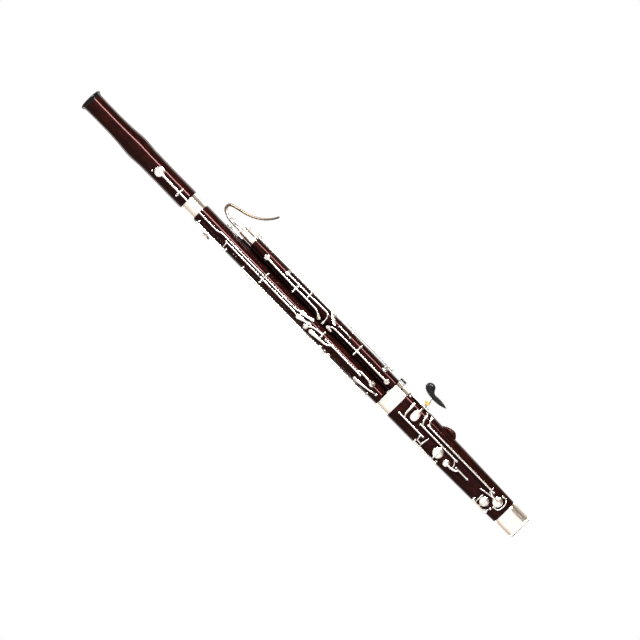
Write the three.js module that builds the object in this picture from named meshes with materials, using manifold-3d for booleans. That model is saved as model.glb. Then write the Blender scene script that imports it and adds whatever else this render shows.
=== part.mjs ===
// Bassoon with German-system keywork, as an assembly of separate pieces. Millimetres, +Z from the boot cap to the bell.
// The origin is the centre of the boot cap's flat end face. +X points to the wing joint and the hand rest.
// The front, at -Y, is the player's side with the thumb keys. The back, at +Y, is the side with the finger holes.

import * as THREE from "three";
import { mergeVertices } from "three/addons/utils/BufferGeometryUtils.js";
import Module from "manifold-3d";

const wasm = await Module();
wasm.setup();

// ---- Driving dimensions ----

const FRONT = -1;
const BACK = 1;
const GAP = 0.3;

const LONG_X = -19.5; // axis of the long joint and the bell
const WING_X = 20.5; // axis of the wing joint
const BOOT_X = -1; // middle of the boot's oval section at its top

const CAP = { top: 51.7, half: 29.3, depth: 15.6, wall: 1, floor: 2 };
const BOOT = { low: 52, bandLow: 384, top: 419, halfLow: 30.5, halfTop: 36, depthTop: 20 };
const BOOT_SPIGOT = { low: 37, half: 27.4, depth: 13.8 };
const BOOT_BORE = { long: 6.5, wing: 5.2 };
const SOCKET = { depth: 37, long: 13.2, wing: 11.2 };

const U_TUBE = { flangeTop: 36.6, flange: 1.6, outer: 6.6, inner: 5.2 };

const LONG = { low: 419.3, top: 990.7, tenon: 35, tenonLow: 12.8, tenonTop: 13.2 };
const LONG_OUTLINE = [
  [419, 17.3],
  [470, 18.1],
  [550, 19.4],
  [700, 20.4],
  [870, 21.1],
  [991, 22],
];
const LONG_BORE = { low: 6.6, top: 9 };

const WING = { low: 419.3, top: 861, tenon: 35, tenonRadius: 10.8 };
const WING_OUTLINE = [
  [419, 15],
  [500, 16],
  [600, 15.2],
  [724, 13.9],
  [861, 12.5],
];
const WING_BORE = { low: 5.2, top: 3.6 };
const FINGER_WING = { low: 452, high: 716, reach: 27, half: 8.5 };
const FINGER_HOLES = [675, 620, 560];
const CHEEK = { low: 420.4, high: 856, top: 897, lean: 4 }; // slim cheek that closes the gap behind

const WING_BAND = { low: 861.3, top: 898, radius: 12.2 };
const BOCAL_X = 16.5; // the bocal's receiver is off the wing joint's axis

const BELL = { bandLow: 991, woodLow: 1029, woodTop: 1329.7, top: 1340, socket: 13.8, neck: 18.6 };
const BELL_BAND_RADIUS = 21.5;
const BELL_OUTLINE = [
  [1029, 23],
  [1033, 24.5],
  [1100, 24],
  [1160, 24.6],
  [1178, 26.2],
  [1191, 27],
  [1206, 26],
  [1230, 23.8],
  [1261, 22.6],
  [1300, 22.5],
  [1330, 23.2],
];
const BELL_BORE = { low: 10, mouth: 16.5 };
const RIM_RADIUS = 27;

const TUBE = { outer: 2.1, inner: 1.4, pin: 1 }; // hinge tubes and the steel pins through them
const BALL = 2.6; // ball head of a key post
const PILLAR = 1.5;
const CUP_HEIGHT = 3.6;
const ARM = 1.5;
const ARM_DEPTH = 2.2;
const BROAD = 3.5; // bars with a broader end than this have rounder ends

// An arc in a three.js shape is drawn with two chords for each of its curve segments.
const SIDES = { body: 24, bore: 14, ring: 28, tube: 6, cup: 12, oval: 5 };

// ---- Finishes ----

const maple = { color: 0x2a0a0c, roughness: 0.18, metalness: 0 };
const silver = { color: 0xd8d6d2, roughness: 0.16, metalness: 1 };
const steel = { color: 0xb8b9bb, roughness: 0.25, metalness: 1 };
const bronze = { color: 0x5a3b22, roughness: 0.3, metalness: 0.9 };
const brass = { color: 0xc79a3c, roughness: 0.25, metalness: 1 };
const ebonite = { color: 0x0b0b0c, roughness: 0.3, metalness: 0 };
const cork = { color: 0xb98a5c, roughness: 0.9, metalness: 0 };

const bassoon = new THREE.Group();

// ---- Solids ----

function solid(geometry) {
  const bare = geometry.clone();
  bare.deleteAttribute("normal");
  bare.deleteAttribute("uv");
  const merged = mergeVertices(bare, 1e-4);
  const corners = merged.index.array;
  const kept = [];
  for (let i = 0; i < corners.length; i += 3) {
    const [a, b, c] = corners.slice(i, i + 3);
    if (a !== b && b !== c && c !== a) kept.push(a, b, c);
  }
  const build = (triVerts) =>
    new wasm.Manifold(
      new wasm.Mesh({ numProp: 3, vertProperties: merged.attributes.position.array, triVerts }),
    );
  const made = build(new Uint32Array(kept));
  return made.volume() < 0 ? build(new Uint32Array(kept.reverse())) : made;
}

const joined = (solids) => solids.reduce((sum, next) => sum.add(next));
const cutBy = (body, tools) => tools.reduce((left, tool) => left.subtract(tool), body);

function piece(name, made, finish) {
  const { vertProperties, triVerts, numProp, numVert } = made.getMesh();
  const positions = new Float32Array(numVert * 3);
  for (let i = 0; i < numVert; i += 1) {
    positions.set(vertProperties.subarray(i * numProp, i * numProp + 3), i * 3);
  }
  const geometry = new THREE.BufferGeometry()
    .setAttribute("position", new THREE.BufferAttribute(positions, 3))
    .setIndex(new THREE.BufferAttribute(triVerts, 1));
  geometry.computeVertexNormals();
  const mesh = new THREE.Mesh(geometry, new THREE.MeshStandardMaterial(finish));
  mesh.name = name;
  bassoon.add(mesh);
}

// A body of revolution about a line parallel to Z at x, from [radius, z] points.
function turned(profile, sides, x = 0, y = 0) {
  const outline = profile.map(([radius, z]) => new THREE.Vector2(radius, z));
  return solid(new THREE.LatheGeometry(outline, sides).rotateX(Math.PI / 2).translate(x, y, 0));
}

// The same, about an axis that starts at a point and runs in any direction.
function turnedAlong(profile, sides, start, direction) {
  const outline = profile.map(([radius, height]) => new THREE.Vector2(radius, height));
  const turn = new THREE.Quaternion().setFromUnitVectors(
    new THREE.Vector3(0, 1, 0),
    direction.clone().normalize(),
  );
  const lathe = new THREE.LatheGeometry(outline, sides).applyQuaternion(turn);
  return solid(lathe.translate(start.x, start.y, start.z));
}

function round(start, end, radius, sides = SIDES.tube) {
  const along = end.clone().sub(start);
  const profile = [
    [0, 0],
    [radius, 0],
    [radius, along.length()],
    [0, along.length()],
  ];
  return turnedAlong(profile, sides, start, along);
}

function ball(centre, radius) {
  return solid(new THREE.IcosahedronGeometry(radius).translate(centre.x, centre.y, centre.z));
}

function wire(points, radius, steps, sides = SIDES.tube) {
  const section = new THREE.Shape().absarc(0, 0, radius, 0, 2 * Math.PI);
  const path = new THREE.CatmullRomCurve3(points);
  return solid(
    new THREE.ExtrudeGeometry(section, { steps, extrudePath: path, curveSegments: sides / 2 }),
  );
}

// A flat bar with round ends, of radius ra at a and rb at b, and its broad faces square to normal.
function pill(a, b, ra, rb, normal, depth = ARM_DEPTH) {
  const along = b.clone().sub(a);
  const length = along.length();
  along.normalize();
  const across = new THREE.Vector3().crossVectors(along, normal).normalize();
  const facing = new THREE.Vector3().crossVectors(across, along);
  const lean = Math.acos(THREE.MathUtils.clamp((ra - rb) / length, -1, 1));
  const shape = new THREE.Shape();
  shape.absarc(0, 0, ra, lean, 2 * Math.PI - lean);
  shape.absarc(length, 0, rb, -lean, lean);
  const bar = new THREE.ExtrudeGeometry(shape, {
    depth,
    bevelEnabled: false,
    curveSegments: Math.max(ra, rb) > BROAD ? 2 : 1,
  });
  bar.translate(0, 0, -depth / 2);
  bar.applyMatrix4(new THREE.Matrix4().makeBasis(along, across.negate(), facing).setPosition(a));
  return solid(bar);
}

function ovalShape(half, depth, hole) {
  const flat = half - depth;
  const outline = (target, grow) => {
    target.absarc(flat, 0, depth + grow, -Math.PI / 2, Math.PI / 2);
    target.absarc(-flat, 0, depth + grow, Math.PI / 2, (3 * Math.PI) / 2);
    return target;
  };
  const shape = outline(new THREE.Shape(), 0);
  if (hole) shape.holes.push(outline(new THREE.Path(), -hole));
  return shape;
}

function oval(half, depth, low, high, { hole = 0, steps = 1 } = {}) {
  return new THREE.ExtrudeGeometry(ovalShape(half, depth, hole), {
    depth: high - low,
    steps,
    bevelEnabled: false,
    curveSegments: SIDES.oval,
  }).translate(0, 0, low);
}

// ---- The joints' surfaces, on which the keywork is placed ----

function along(outline, z) {
  const next = outline.findIndex(([height]) => height > z);
  if (next === 0) return outline[0][1];
  if (next < 0) return outline[outline.length - 1][1];
  const [[lowZ, low], [highZ, high]] = [outline[next - 1], outline[next]];
  return THREE.MathUtils.mapLinear(z, lowZ, highZ, low, high);
}

// The boot swells a little between its two ends: 0 at the low end, 1 at the top.
const bootSwell = (z) => {
  const share = THREE.MathUtils.clamp((z - BOOT.low) / (BOOT.bandLow - BOOT.low), 0, 1);
  return Math.sin((share * Math.PI) / 2);
};
const bootScale = (z) => THREE.MathUtils.lerp(BOOT.halfLow / BOOT.halfTop, 1, bootSwell(z));
const bellRadius = (z) => (z < BELL.woodLow ? BELL_BAND_RADIUS : along(BELL_OUTLINE, z));

const longSurface = { x: () => LONG_X, flat: () => 0, radius: (z) => along(LONG_OUTLINE, z) };
const wingSurface = { x: () => WING_X, flat: () => 0, radius: (z) => along(WING_OUTLINE, z) };
const bellSurface = { x: () => LONG_X, flat: () => 0, radius: bellRadius };
const bootSurface = {
  x: (z) => BOOT_X * bootScale(z),
  flat: (z) => (BOOT.halfTop - BOOT.depthTop) * bootScale(z),
  radius: (z) => BOOT.depthTop * bootScale(z),
};

// A point over the surface at x and z, lifted off it by lift.
const over =
  (surface, side = FRONT) =>
  (x, z, lift) => {
    const past = Math.max(Math.abs(x - surface.x(z)) - surface.flat(z), 0);
    const reach = surface.radius(z) + lift;
    return new THREE.Vector3(x, side * Math.sqrt(Math.max(reach ** 2 - past ** 2, 0)), z);
  };

// A point over a round joint at an angle from the front, positive towards +X.
const around = (surface) => (degrees, z, lift) => {
  const angle = THREE.MathUtils.degToRad(degrees);
  const reach = surface.radius(z) + lift;
  return new THREE.Vector3(
    surface.x(z) + reach * Math.sin(angle),
    -reach * Math.cos(angle),
    z,
  );
};

// The direction straight out of the surface at a point, and the point's height over it.
function outward(surface, point) {
  const across = point.x - surface.x(point.z);
  const flat = surface.flat(point.z);
  const core = THREE.MathUtils.clamp(across, -flat, flat);
  const out = new THREE.Vector3(across - core, point.y, 0);
  const height = out.length() - surface.radius(point.z);
  return { direction: out.normalize(), height };
}

const onBell = over(bellSurface);
const onLong = over(longSurface);
const aroundLong = around(longSurface);
const onWing = over(wingSurface);
const aroundWing = around(wingSurface);
const onBoot = over(bootSurface);
const behindBoot = over(bootSurface, BACK);

// ---- Keywork parts ----

const between = (start, end, share) => start.clone().lerp(end, share);

// A hinge tube is bored for its pin, so a key subtracts the bore after its parts are joined.
function hingeTube(start, end) {
  return { body: round(start, end, TUBE.outer), bore: stretched(start, end, 6, TUBE.inner) };
}

function stretched(start, end, extra, radius) {
  const reach = end.clone().sub(start).setLength(extra);
  return round(start.clone().sub(reach), end.clone().add(reach), radius);
}

// The stretch of a post-to-post pin that is left for a tube between two ball heads.
function tubeBetween(start, end, low = 0, high = 1) {
  const margin = (BALL + 0.4) / start.distanceTo(end);
  return hingeTube(between(start, end, low + margin), between(start, end, high - margin));
}

function cup(surface, centre, radius) {
  const { direction } = outward(surface, centre);
  const profile = [
    [0, 0],
    [radius, 0],
    [radius, CUP_HEIGHT * 0.55],
    [radius * 0.72, CUP_HEIGHT * 0.9],
    [0, CUP_HEIGHT],
  ];
  return turnedAlong(profile, SIDES.cup, centre, direction);
}

// A flat bar that follows the surface's own facing at its middle.
function arm(surface, a, b, ra = ARM, rb = ARM, depth = ARM_DEPTH) {
  return pill(a, b, ra, rb, outward(surface, between(a, b, 0.5)).direction, depth);
}

function key(name, tube, parts) {
  piece(name, joined([tube.body, ...parts]).subtract(tube.bore), silver);
}

// Ball-headed posts on one pin: each stands on its surface at a share of the pin's length.
function posts(name, surface, start, end, shares = [0, 1]) {
  const heads = shares.map((share) => between(start, end, share));
  const stands = heads.map((head) => {
    const { direction, height } = outward(surface, head);
    const foot = head.clone().addScaledVector(direction, GAP - height);
    return round(foot, head, PILLAR);
  });
  const balls = heads.map((head) => ball(head, BALL));
  piece(name, joined([round(start, end, TUBE.pin), ...stands, ...balls]), steel);
}

// ---- Boot ----

function tapered(geometry) {
  const place = geometry.attributes.position;
  for (let i = 0; i < place.count; i += 1) {
    const scale = bootScale(place.getZ(i));
    place.setXY(i, (place.getX(i) + BOOT_X) * scale, place.getY(i) * scale);
  }
  return geometry;
}

// A low wooden swelling on the right of the boot, carved from the same billet.
function bootSwelling() {
  const outline = new THREE.Shape();
  outline.moveTo(30, 290);
  outline.lineTo(36, 278);
  outline.quadraticCurveTo(42, 268, 48, 252);
  outline.quadraticCurveTo(49, 247, 43, 245);
  outline.lineTo(30, 236);
  const block = new THREE.ExtrudeGeometry(outline, {
    depth: 11,
    bevelEnabled: false,
    curveSegments: 4,
  });
  return solid(block.rotateX(Math.PI / 2).translate(0, 4, 0));
}

function bootJoint() {
  const { low, bandLow, top, halfTop, depthTop } = BOOT;
  const wood = solid(tapered(oval(halfTop, depthTop, low, bandLow, { steps: 4 })));
  const under = solid(
    oval(halfTop - 1.5, depthTop - 1.5, bandLow - 4, top).translate(BOOT_X, 0, 0),
  );
  const spigot = solid(oval(BOOT_SPIGOT.half, BOOT_SPIGOT.depth, BOOT_SPIGOT.low, low + 4));
  const bores = [
    [LONG_X, BOOT_BORE.long, SOCKET.long],
    [WING_X, BOOT_BORE.wing, SOCKET.wing],
  ].flatMap(([x, bore, socket]) => [
    round(new THREE.Vector3(x, 0, 0), new THREE.Vector3(x, 0, top + 5), bore, SIDES.bore),
    round(
      new THREE.Vector3(x, 0, top - SOCKET.depth),
      new THREE.Vector3(x, 0, top + 5),
      socket,
      SIDES.bore,
    ),
  ]);
  const fingerHoles = [338, 292].map((z) =>
    round(new THREE.Vector3(LONG_X + 6, 0, z), new THREE.Vector3(-6, 40, z + 4), 3.4, 12),
  );
  piece(
    "boot_joint",
    cutBy(joined([wood, under, spigot, bootSwelling()]), [...bores, ...fingerHoles]),
    maple,
  );
}

function bootMetal() {
  const { bandLow, top, halfTop, depthTop } = BOOT;
  const band = oval(halfTop, depthTop, bandLow + GAP, top, { hole: 1.2 }).translate(BOOT_X, 0, 0);
  piece("boot_band", solid(band), silver);

  const shell = solid(oval(CAP.half, CAP.depth, 0, CAP.top));
  const inside = oval(CAP.half - CAP.wall, CAP.depth - CAP.wall, CAP.floor, CAP.top + 5);
  piece("boot_cap", shell.subtract(solid(inside)), silver);
}

function uTube() {
  const { flangeTop, flange, outer, inner } = U_TUBE;
  const centre = (LONG_X + WING_X) / 2;
  const bend = (WING_X - LONG_X) / 2;
  const path = (rise) => {
    const points = [new THREE.Vector3(LONG_X, 0, flangeTop + rise)];
    for (let i = 0; i <= 12; i += 1) {
      const angle = Math.PI * (1 + i / 12);
      const dip = bend * Math.sin(angle) * 0.95;
      points.push(new THREE.Vector3(centre + bend * Math.cos(angle), 0, flangeTop - 4 + dip));
    }
    points.push(new THREE.Vector3(WING_X, 0, flangeTop + rise));
    return points;
  };
  const plate = solid(oval(BOOT_SPIGOT.half, BOOT_SPIGOT.depth, flangeTop - flange, flangeTop));
  const pipe = wire(path(-0.4), outer, 16, 10);
  piece("u_tube", plate.add(pipe).subtract(wire(path(3), inner, 16, 8)), steel);
}

// ---- Wing joint ----

function wingJoint() {
  const airway = [
    [WING_BORE.top, WING.top],
    [WING_BORE.low, WING.low - WING.tenon],
  ];
  const outline = WING_OUTLINE.map(([z, radius]) => [radius, z]);
  outline[0][1] = WING.low;
  const profile = [
    ...airway,
    [WING.tenonRadius, WING.low - WING.tenon],
    [WING.tenonRadius, WING.low],
    ...outline,
    airway[0],
  ];
  const wood = turned(profile, SIDES.body, WING_X);

  // The wing that gives the joint its name stands out behind and carries three slanted finger holes.
  const { low, high, reach, half } = FINGER_WING;
  const outlineOfWing = new THREE.Shape();
  outlineOfWing.moveTo(9, low - 8);
  outlineOfWing.lineTo(reach - 7, low);
  outlineOfWing.quadraticCurveTo(reach, low + 4, reach, low + 22);
  outlineOfWing.lineTo(reach - 1, high - 22);
  outlineOfWing.quadraticCurveTo(reach - 2, high - 4, reach - 8, high);
  outlineOfWing.lineTo(9, high + 10);
  const slab = new THREE.ExtrudeGeometry(outlineOfWing, {
    depth: 2 * half,
    bevelEnabled: false,
    curveSegments: 5,
  });
  // The outline's first axis becomes +Y and its second +Z.
  const basis = new THREE.Matrix4().makeBasis(
    new THREE.Vector3(0, 1, 0),
    new THREE.Vector3(0, 0, 1),
    new THREE.Vector3(1, 0, 0),
  );
  slab.applyMatrix4(basis).translate(WING_X - half, 0, 0);
  const holes = FINGER_HOLES.map((z) =>
    round(new THREE.Vector3(WING_X, 0, z - 12), new THREE.Vector3(WING_X, 40, z + 8), 2.7, 12),
  );
  const bodies = [wood, solid(slab), wingCheek()];
  const bore = round(
    new THREE.Vector3(WING_X, 0, WING.low - 40),
    new THREE.Vector3(WING_X, 0, WING.top + 5),
    WING_BORE.top,
    SIDES.bore,
  );
  piece("wing_joint", cutBy(joined(bodies), [bore, ...holes]), maple);
}

// The cheek's inner edge leans with the long joint's taper; a narrow neck carries it up past the band.
function wingCheek() {
  const { low, high, top, lean } = CHEEK;
  const section = new THREE.Shape();
  section.moveTo(1, 10.4);
  section.lineTo(2.6, 7.4);
  section.lineTo(14, 4);
  section.lineTo(16, 10);
  section.quadraticCurveTo(10, 14, 1, 12.8);
  const bar = new THREE.ExtrudeGeometry(section, {
    depth: high - low,
    bevelEnabled: false,
    curveSegments: 3,
  }).translate(0, 0, low);
  const place = bar.attributes.position;
  for (let i = 0; i < place.count; i += 1) {
    const inner = place.getX(i) < 8 ? 1 : 0;
    const drop = (high - place.getZ(i)) / (high - low);
    place.setX(i, place.getX(i) - inner * lean * drop);
  }
  const neck = new THREE.BoxGeometry(6.6, 4.4, top - high + 6);
  neck.translate(4.7, 10.7, (top + high - 6) / 2);
  return joined([solid(bar), solid(neck)]);
}

function wingTop() {
  const { low, top, radius } = WING_BAND;
  const ring = round(
    new THREE.Vector3(WING_X, 0, low),
    new THREE.Vector3(WING_X, 0, top),
    radius,
    SIDES.body,
  );
  const receiver = round(
    new THREE.Vector3(BOCAL_X, 0, low + 12),
    new THREE.Vector3(BOCAL_X, 0, top + 5),
    6,
    SIDES.bore,
  );
  const bore = round(
    new THREE.Vector3(WING_X - 1, 0, low - 5),
    new THREE.Vector3(WING_X - 1, 0, top - 10),
    WING_BORE.top,
    SIDES.bore,
  );
  piece("wing_top_band", cutBy(ring, [receiver, bore]), silver);
}

// The pin that locks the wing joint and the long joint together.
function jointLock() {
  const profile = [
    [0, 884],
    [2, 884],
    [2, 899],
    [2.7, 900],
    [2.7, 904],
    [1.8, 906],
    [1.8, 918],
    [2.8, 921],
    [2.8, 930],
    [2, 932],
    [0, 932],
  ];
  piece("joint_lock_pin", turned(profile, 14, 5.8, -1), silver);
}

// ---- Bocal ----

const BOCAL_ROUTE = [
  [BOCAL_X, 878],
  [BOCAL_X, 898],
  [15.6, 920],
  [16.6, 935],
  [20, 948],
  [26, 957.5],
  [33, 960.5],
  [39.5, 957],
  [44, 946],
  [47.5, 931],
  [52, 915],
  [58.5, 900],
  [68, 885.5],
  [79, 874],
  [90, 866.5],
  [98, 862.5],
].map(([x, z]) => new THREE.Vector3(x, 0, z));
const BOCAL = { wide: 4.4, narrow: 2.2, wall: 0.8, steps: 34 };

// A swept tube narrows by moving each ring towards its own point of the path.
function narrowing(path, wide, narrow, steps, sides) {
  const section = new THREE.Shape().absarc(0, 0, wide, 0, 2 * Math.PI);
  const geometry = new THREE.ExtrudeGeometry(section, {
    steps,
    extrudePath: path,
    curveSegments: sides / 2,
  });
  const stations = path.getSpacedPoints(steps);
  const place = geometry.attributes.position;
  const corner = new THREE.Vector3();
  for (let i = 0; i < place.count; i += 1) {
    corner.fromBufferAttribute(place, i);
    const gaps = stations.map((station) => Math.abs(station.distanceTo(corner) - wide));
    const nearest = gaps.indexOf(Math.min(...gaps));
    const share = THREE.MathUtils.lerp(1, narrow / wide, nearest / steps);
    corner.sub(stations[nearest]).multiplyScalar(share).add(stations[nearest]);
    place.setXYZ(i, corner.x, corner.y, corner.z);
  }
  return solid(geometry);
}

function bocal() {
  const path = new THREE.CatmullRomCurve3(BOCAL_ROUTE);
  const { wide, narrow, wall, steps } = BOCAL;
  const ends = BOCAL_ROUTE.slice();
  const first = ends[0].clone().add(new THREE.Vector3(0, 0, -3));
  const beyond = ends[ends.length - 1].clone().add(new THREE.Vector3(3, 0, -1.4));
  const airway = new THREE.CatmullRomCurve3([first, ...ends, beyond]);
  const tube = narrowing(path, wide, narrow, steps, 10);
  const bore = narrowing(airway, wide - wall, narrow - wall, steps, 6);
  const collar = round(
    new THREE.Vector3(BOCAL_X, 0, 898.6),
    new THREE.Vector3(BOCAL_X, 0, 903),
    6.4,
    16,
  );
  const nipple = round(
    new THREE.Vector3(17.4, -2.6, 937),
    new THREE.Vector3(18.4, -7.4, 937),
    1.8,
  );
  piece("bocal", joined([tube, collar, nipple]).subtract(bore), bronze);

  const sleeve = [
    [5, 879],
    [5.6, 880],
    [5.6, 896],
    [5, 898],
    [4.75, 898],
    [4.75, 879],
    [5, 879],
  ];
  piece("bocal_cork", turned(sleeve, SIDES.bore, BOCAL_X), cork);
}

// ---- Long joint ----

function longJoint() {
  const outline = LONG_OUTLINE.map(([z, radius]) => [radius, z]);
  outline[0][1] = LONG.low;
  outline[outline.length - 1][1] = LONG.top;
  const start = [LONG_BORE.top, LONG.top + LONG.tenon];
  const profile = [
    start,
    [LONG_BORE.low, LONG.low - LONG.tenon],
    [LONG.tenonLow, LONG.low - LONG.tenon],
    [LONG.tenonLow, LONG.low],
    ...outline,
    [LONG.tenonTop, LONG.top],
    [LONG.tenonTop, LONG.top + LONG.tenon],
    start,
  ];
  piece("long_joint", turned(profile, SIDES.body, LONG_X), maple);
}

// ---- Bell ----

function bellJoint() {
  const { bandLow, woodLow, woodTop, socket, neck, top } = BELL;
  const outline = BELL_OUTLINE.map(([z, radius]) => [radius, z]);
  outline[outline.length - 1][1] = woodTop;
  const start = [socket, bandLow];
  const profile = [
    start,
    [neck, bandLow],
    [neck, woodLow],
    ...outline,
    [BELL_BORE.mouth, woodTop],
    [14.6, 1260],
    [12, 1130],
    [BELL_BORE.low, woodLow + 1],
    [socket, woodLow],
    start,
  ];
  piece("bell_joint", turned(profile, SIDES.body, LONG_X), maple);

  const band = [
    [neck + GAP, bandLow + GAP],
    [BELL_BAND_RADIUS, bandLow + GAP],
    [BELL_BAND_RADIUS, woodLow - GAP],
    [neck + GAP, woodLow - GAP],
    [neck + GAP, bandLow + GAP],
  ];
  piece("bell_band", turned(band, SIDES.ring, LONG_X), silver);

  const rim = [
    [BELL_BORE.mouth, woodTop + GAP],
    [23.4, woodTop + GAP],
    [25.6, top - 6],
    [RIM_RADIUS, top - 3],
    [RIM_RADIUS - 0.6, top],
    [BELL_BORE.mouth, top],
    [BELL_BORE.mouth, woodTop + GAP],
  ];
  piece("bell_rim", turned(rim, SIDES.ring, LONG_X), ebonite);
}

// ---- Hand rest ----

const REST = { y: -5, z: 342, collar: 5.4, bore: 3.2, post: 2.9, screwX: 46 };

function restPoint(x) {
  return new THREE.Vector3(x, REST.y, REST.z);
}

function handRest() {
  const plate = new THREE.BoxGeometry(3, 15, 26).translate(37.2, REST.y, REST.z);
  const collar = round(restPoint(36), restPoint(53.5), REST.collar, 16);
  const bore = round(restPoint(38), restPoint(60), REST.bore, 12);
  const screwAxis = (y) => new THREE.Vector3(REST.screwX, y, REST.z);
  const tapped = round(screwAxis(REST.y - 12), screwAxis(REST.y), 2.6, 10);
  piece("hand_rest_seat", cutBy(solid(plate).add(collar), [bore, tapped]), silver);

  piece("hand_rest_post", round(restPoint(40), restPoint(68), REST.post, 12), silver);

  const tip = REST.y - REST.post - 0.4;
  const shank = round(screwAxis(tip), screwAxis(tip - 7), 1.6, 10);
  const head = round(screwAxis(tip - 6.4), screwAxis(tip - 10), 6.4, 16);
  piece("hand_rest_screw", shank.add(head), brass);

  const outline = new THREE.Shape();
  outline.moveTo(67, 303);
  outline.bezierCurveTo(61.5, 311, 58, 328, 59, 342);
  outline.bezierCurveTo(59.8, 353, 62, 372.5, 74, 372.5);
  outline.bezierCurveTo(84, 372.5, 88, 362, 84, 355);
  outline.bezierCurveTo(80.5, 349, 72, 350, 70.4, 341);
  outline.bezierCurveTo(71, 333, 73.5, 320, 67, 303);
  const block = new THREE.ExtrudeGeometry(outline, {
    depth: 14,
    bevelEnabled: true,
    bevelSize: 2,
    bevelOffset: -2,
    bevelThickness: 3,
    bevelSegments: 2,
    curveSegments: 5,
  });
  block.rotateX(Math.PI / 2).translate(0, REST.y + 7, 0);
  const hole = round(restPoint(50), restPoint(68.4), REST.bore, 12);
  piece("hand_rest", solid(block).subtract(hole), ebonite);
}

// ---- Keys of the bell and the long joint ----

// A post-to-post line across the joint at one height, as far out as its lift over the middle.
function crossLine(surface, left, right, z, lift) {
  const y = -(surface.radius(z) + lift);
  return [new THREE.Vector3(left, y, z), new THREE.Vector3(right, y, z)];
}

const acrossAt = ([start], x) => new THREE.Vector3(x, start.y, start.z);

function bellKey() {
  const line = crossLine(bellSurface, -31, -13, 1052, 7);
  posts("bell_key_posts", bellSurface, ...line);
  const pad = onBell(-21, 1115, 9);
  const crown = pad.clone().add(new THREE.Vector3(0, -CUP_HEIGHT, 0));
  key("low_b_flat_bell_key", hingeTube(acrossAt(line, -28), acrossAt(line, -16)), [
    cup(bellSurface, pad, 11.5),
    arm(bellSurface, acrossAt(line, -22), crown, 1.9, 3),
    arm(bellSurface, acrossAt(line, -22), onBell(-22, 1001, 9), 1.9, 1.7),
  ]);
}

function thumbLevers() {
  const line = crossLine(longSurface, -32, -8, 789, 7.5);
  posts("thumb_lever_posts", longSurface, ...line);
  const flat = (points, width = ARM) =>
    points
      .slice(1)
      .map((point, i) =>
        arm(longSurface, onLong(...points[i]), onLong(...point), width, width, 2.4),
      );
  const hub = (x) => [x, 789, 7.5];
  key("low_b_flat_lever", hingeTube(acrossAt(line, -19.8), acrossAt(line, -11)), [
    arm(longSurface, onLong(-13, 676.5, 6.5), onLong(-11.8, 664, 6.5), 5.3, 2.6),
    arm(longSurface, onLong(-11.8, 664, 6.5), onLong(-7.6, 649, 6.5), 2.6, 4),
    ...flat([
      [-13.3, 680, 6.8],
      [-17, 694, 7],
      hub(-17),
      [-17, 925, 6.5],
      [-21, 934, 6],
      [-21, 990, 4.5],
      [-21, 1004, 5],
    ]),
  ]);
  key("low_b_lever", hingeTube(acrossAt(line, -29), acrossAt(line, -20.6)), [
    arm(longSurface, onLong(-25.2, 676.5, 6.5), onLong(-22.4, 662, 6.5), 5.5, 2.6),
    arm(longSurface, onLong(-22.4, 662, 6.5), onLong(-17.6, 646, 6.5), 2.6, 3.4),
    ...flat([[-24.8, 680, 6.8], [-23.8, 694, 7], hub(-23.8), [-23.5, 906, 5.5]]),
  ]);
}

function lowBPad() {
  const start = onLong(-40, 893, 6.5);
  const end = onLong(-40, 978, 6.5);
  posts("low_b_pad_posts", longSurface, start, end);
  key("low_b_pad_key", tubeBetween(start, end), [
    cup(longSurface, aroundLong(-104, 946, 6), 10),
    arm(longSurface, between(start, end, 0.6), aroundLong(-76, 946, 8.5)),
    arm(longSurface, aroundLong(-76, 946, 8.5), aroundLong(-104, 946, 9.4), ARM, 2.4),
    arm(longSurface, onLong(-40, 900, 6.5), onLong(-31, 901, 9)),
    arm(longSurface, onLong(-31, 901, 9), onLong(-23.6, 901, 9.6)),
  ]);
}

function littleFingerKeys() {
  const start = onLong(-40.4, 450, 6.5);
  const end = onLong(-40.4, 838, 6.5);
  const middle = 0.34;
  posts("little_finger_posts", longSurface, start, end, [0, middle, 1]);
  const at = (z) => between(start, end, (z - 450) / 388);
  key("c_sharp_key", tubeBetween(start, end, middle, 1), [
    cup(longSurface, aroundLong(-108, 815, 1), 8.5),
    arm(longSurface, at(815), aroundLong(-80, 815, 5.6)),
    arm(longSurface, aroundLong(-80, 815, 5.6), aroundLong(-108, 815, 4.4), ARM, 2.2),
    arm(longSurface, at(596), onLong(-36.5, 595, 9), 2, 4.6, 2),
  ]);
  key("e_flat_key", tubeBetween(start, end, 0, middle), [
    cup(longSurface, aroundLong(-108, 476, 1), 8.5),
    arm(longSurface, at(476), aroundLong(-80, 476, 5.6)),
    arm(longSurface, aroundLong(-80, 476, 5.6), aroundLong(-108, 476, 4.4), ARM, 2.2),
    arm(longSurface, at(570), onLong(-36, 570, 9), 2, 5, 2),
  ]);
}

function lowCKey() {
  const line = crossLine(longSurface, -20, -8, 610, 6.5);
  posts("low_c_posts", longSurface, ...line);
  const plate = onLong(-28, 649.5, 4);
  key("low_c_key", hingeTube(acrossAt(line, -17), acrossAt(line, -11)), [
    cup(longSurface, plate, 6.3),
    arm(longSurface, acrossAt(line, -14), onLong(-18, 635, 6.5), 2, 1.6),
    arm(longSurface, onLong(-18, 635, 6.5), onLong(-28, 649.5, 7), 1.6, 2.5),
  ]);
}

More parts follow.
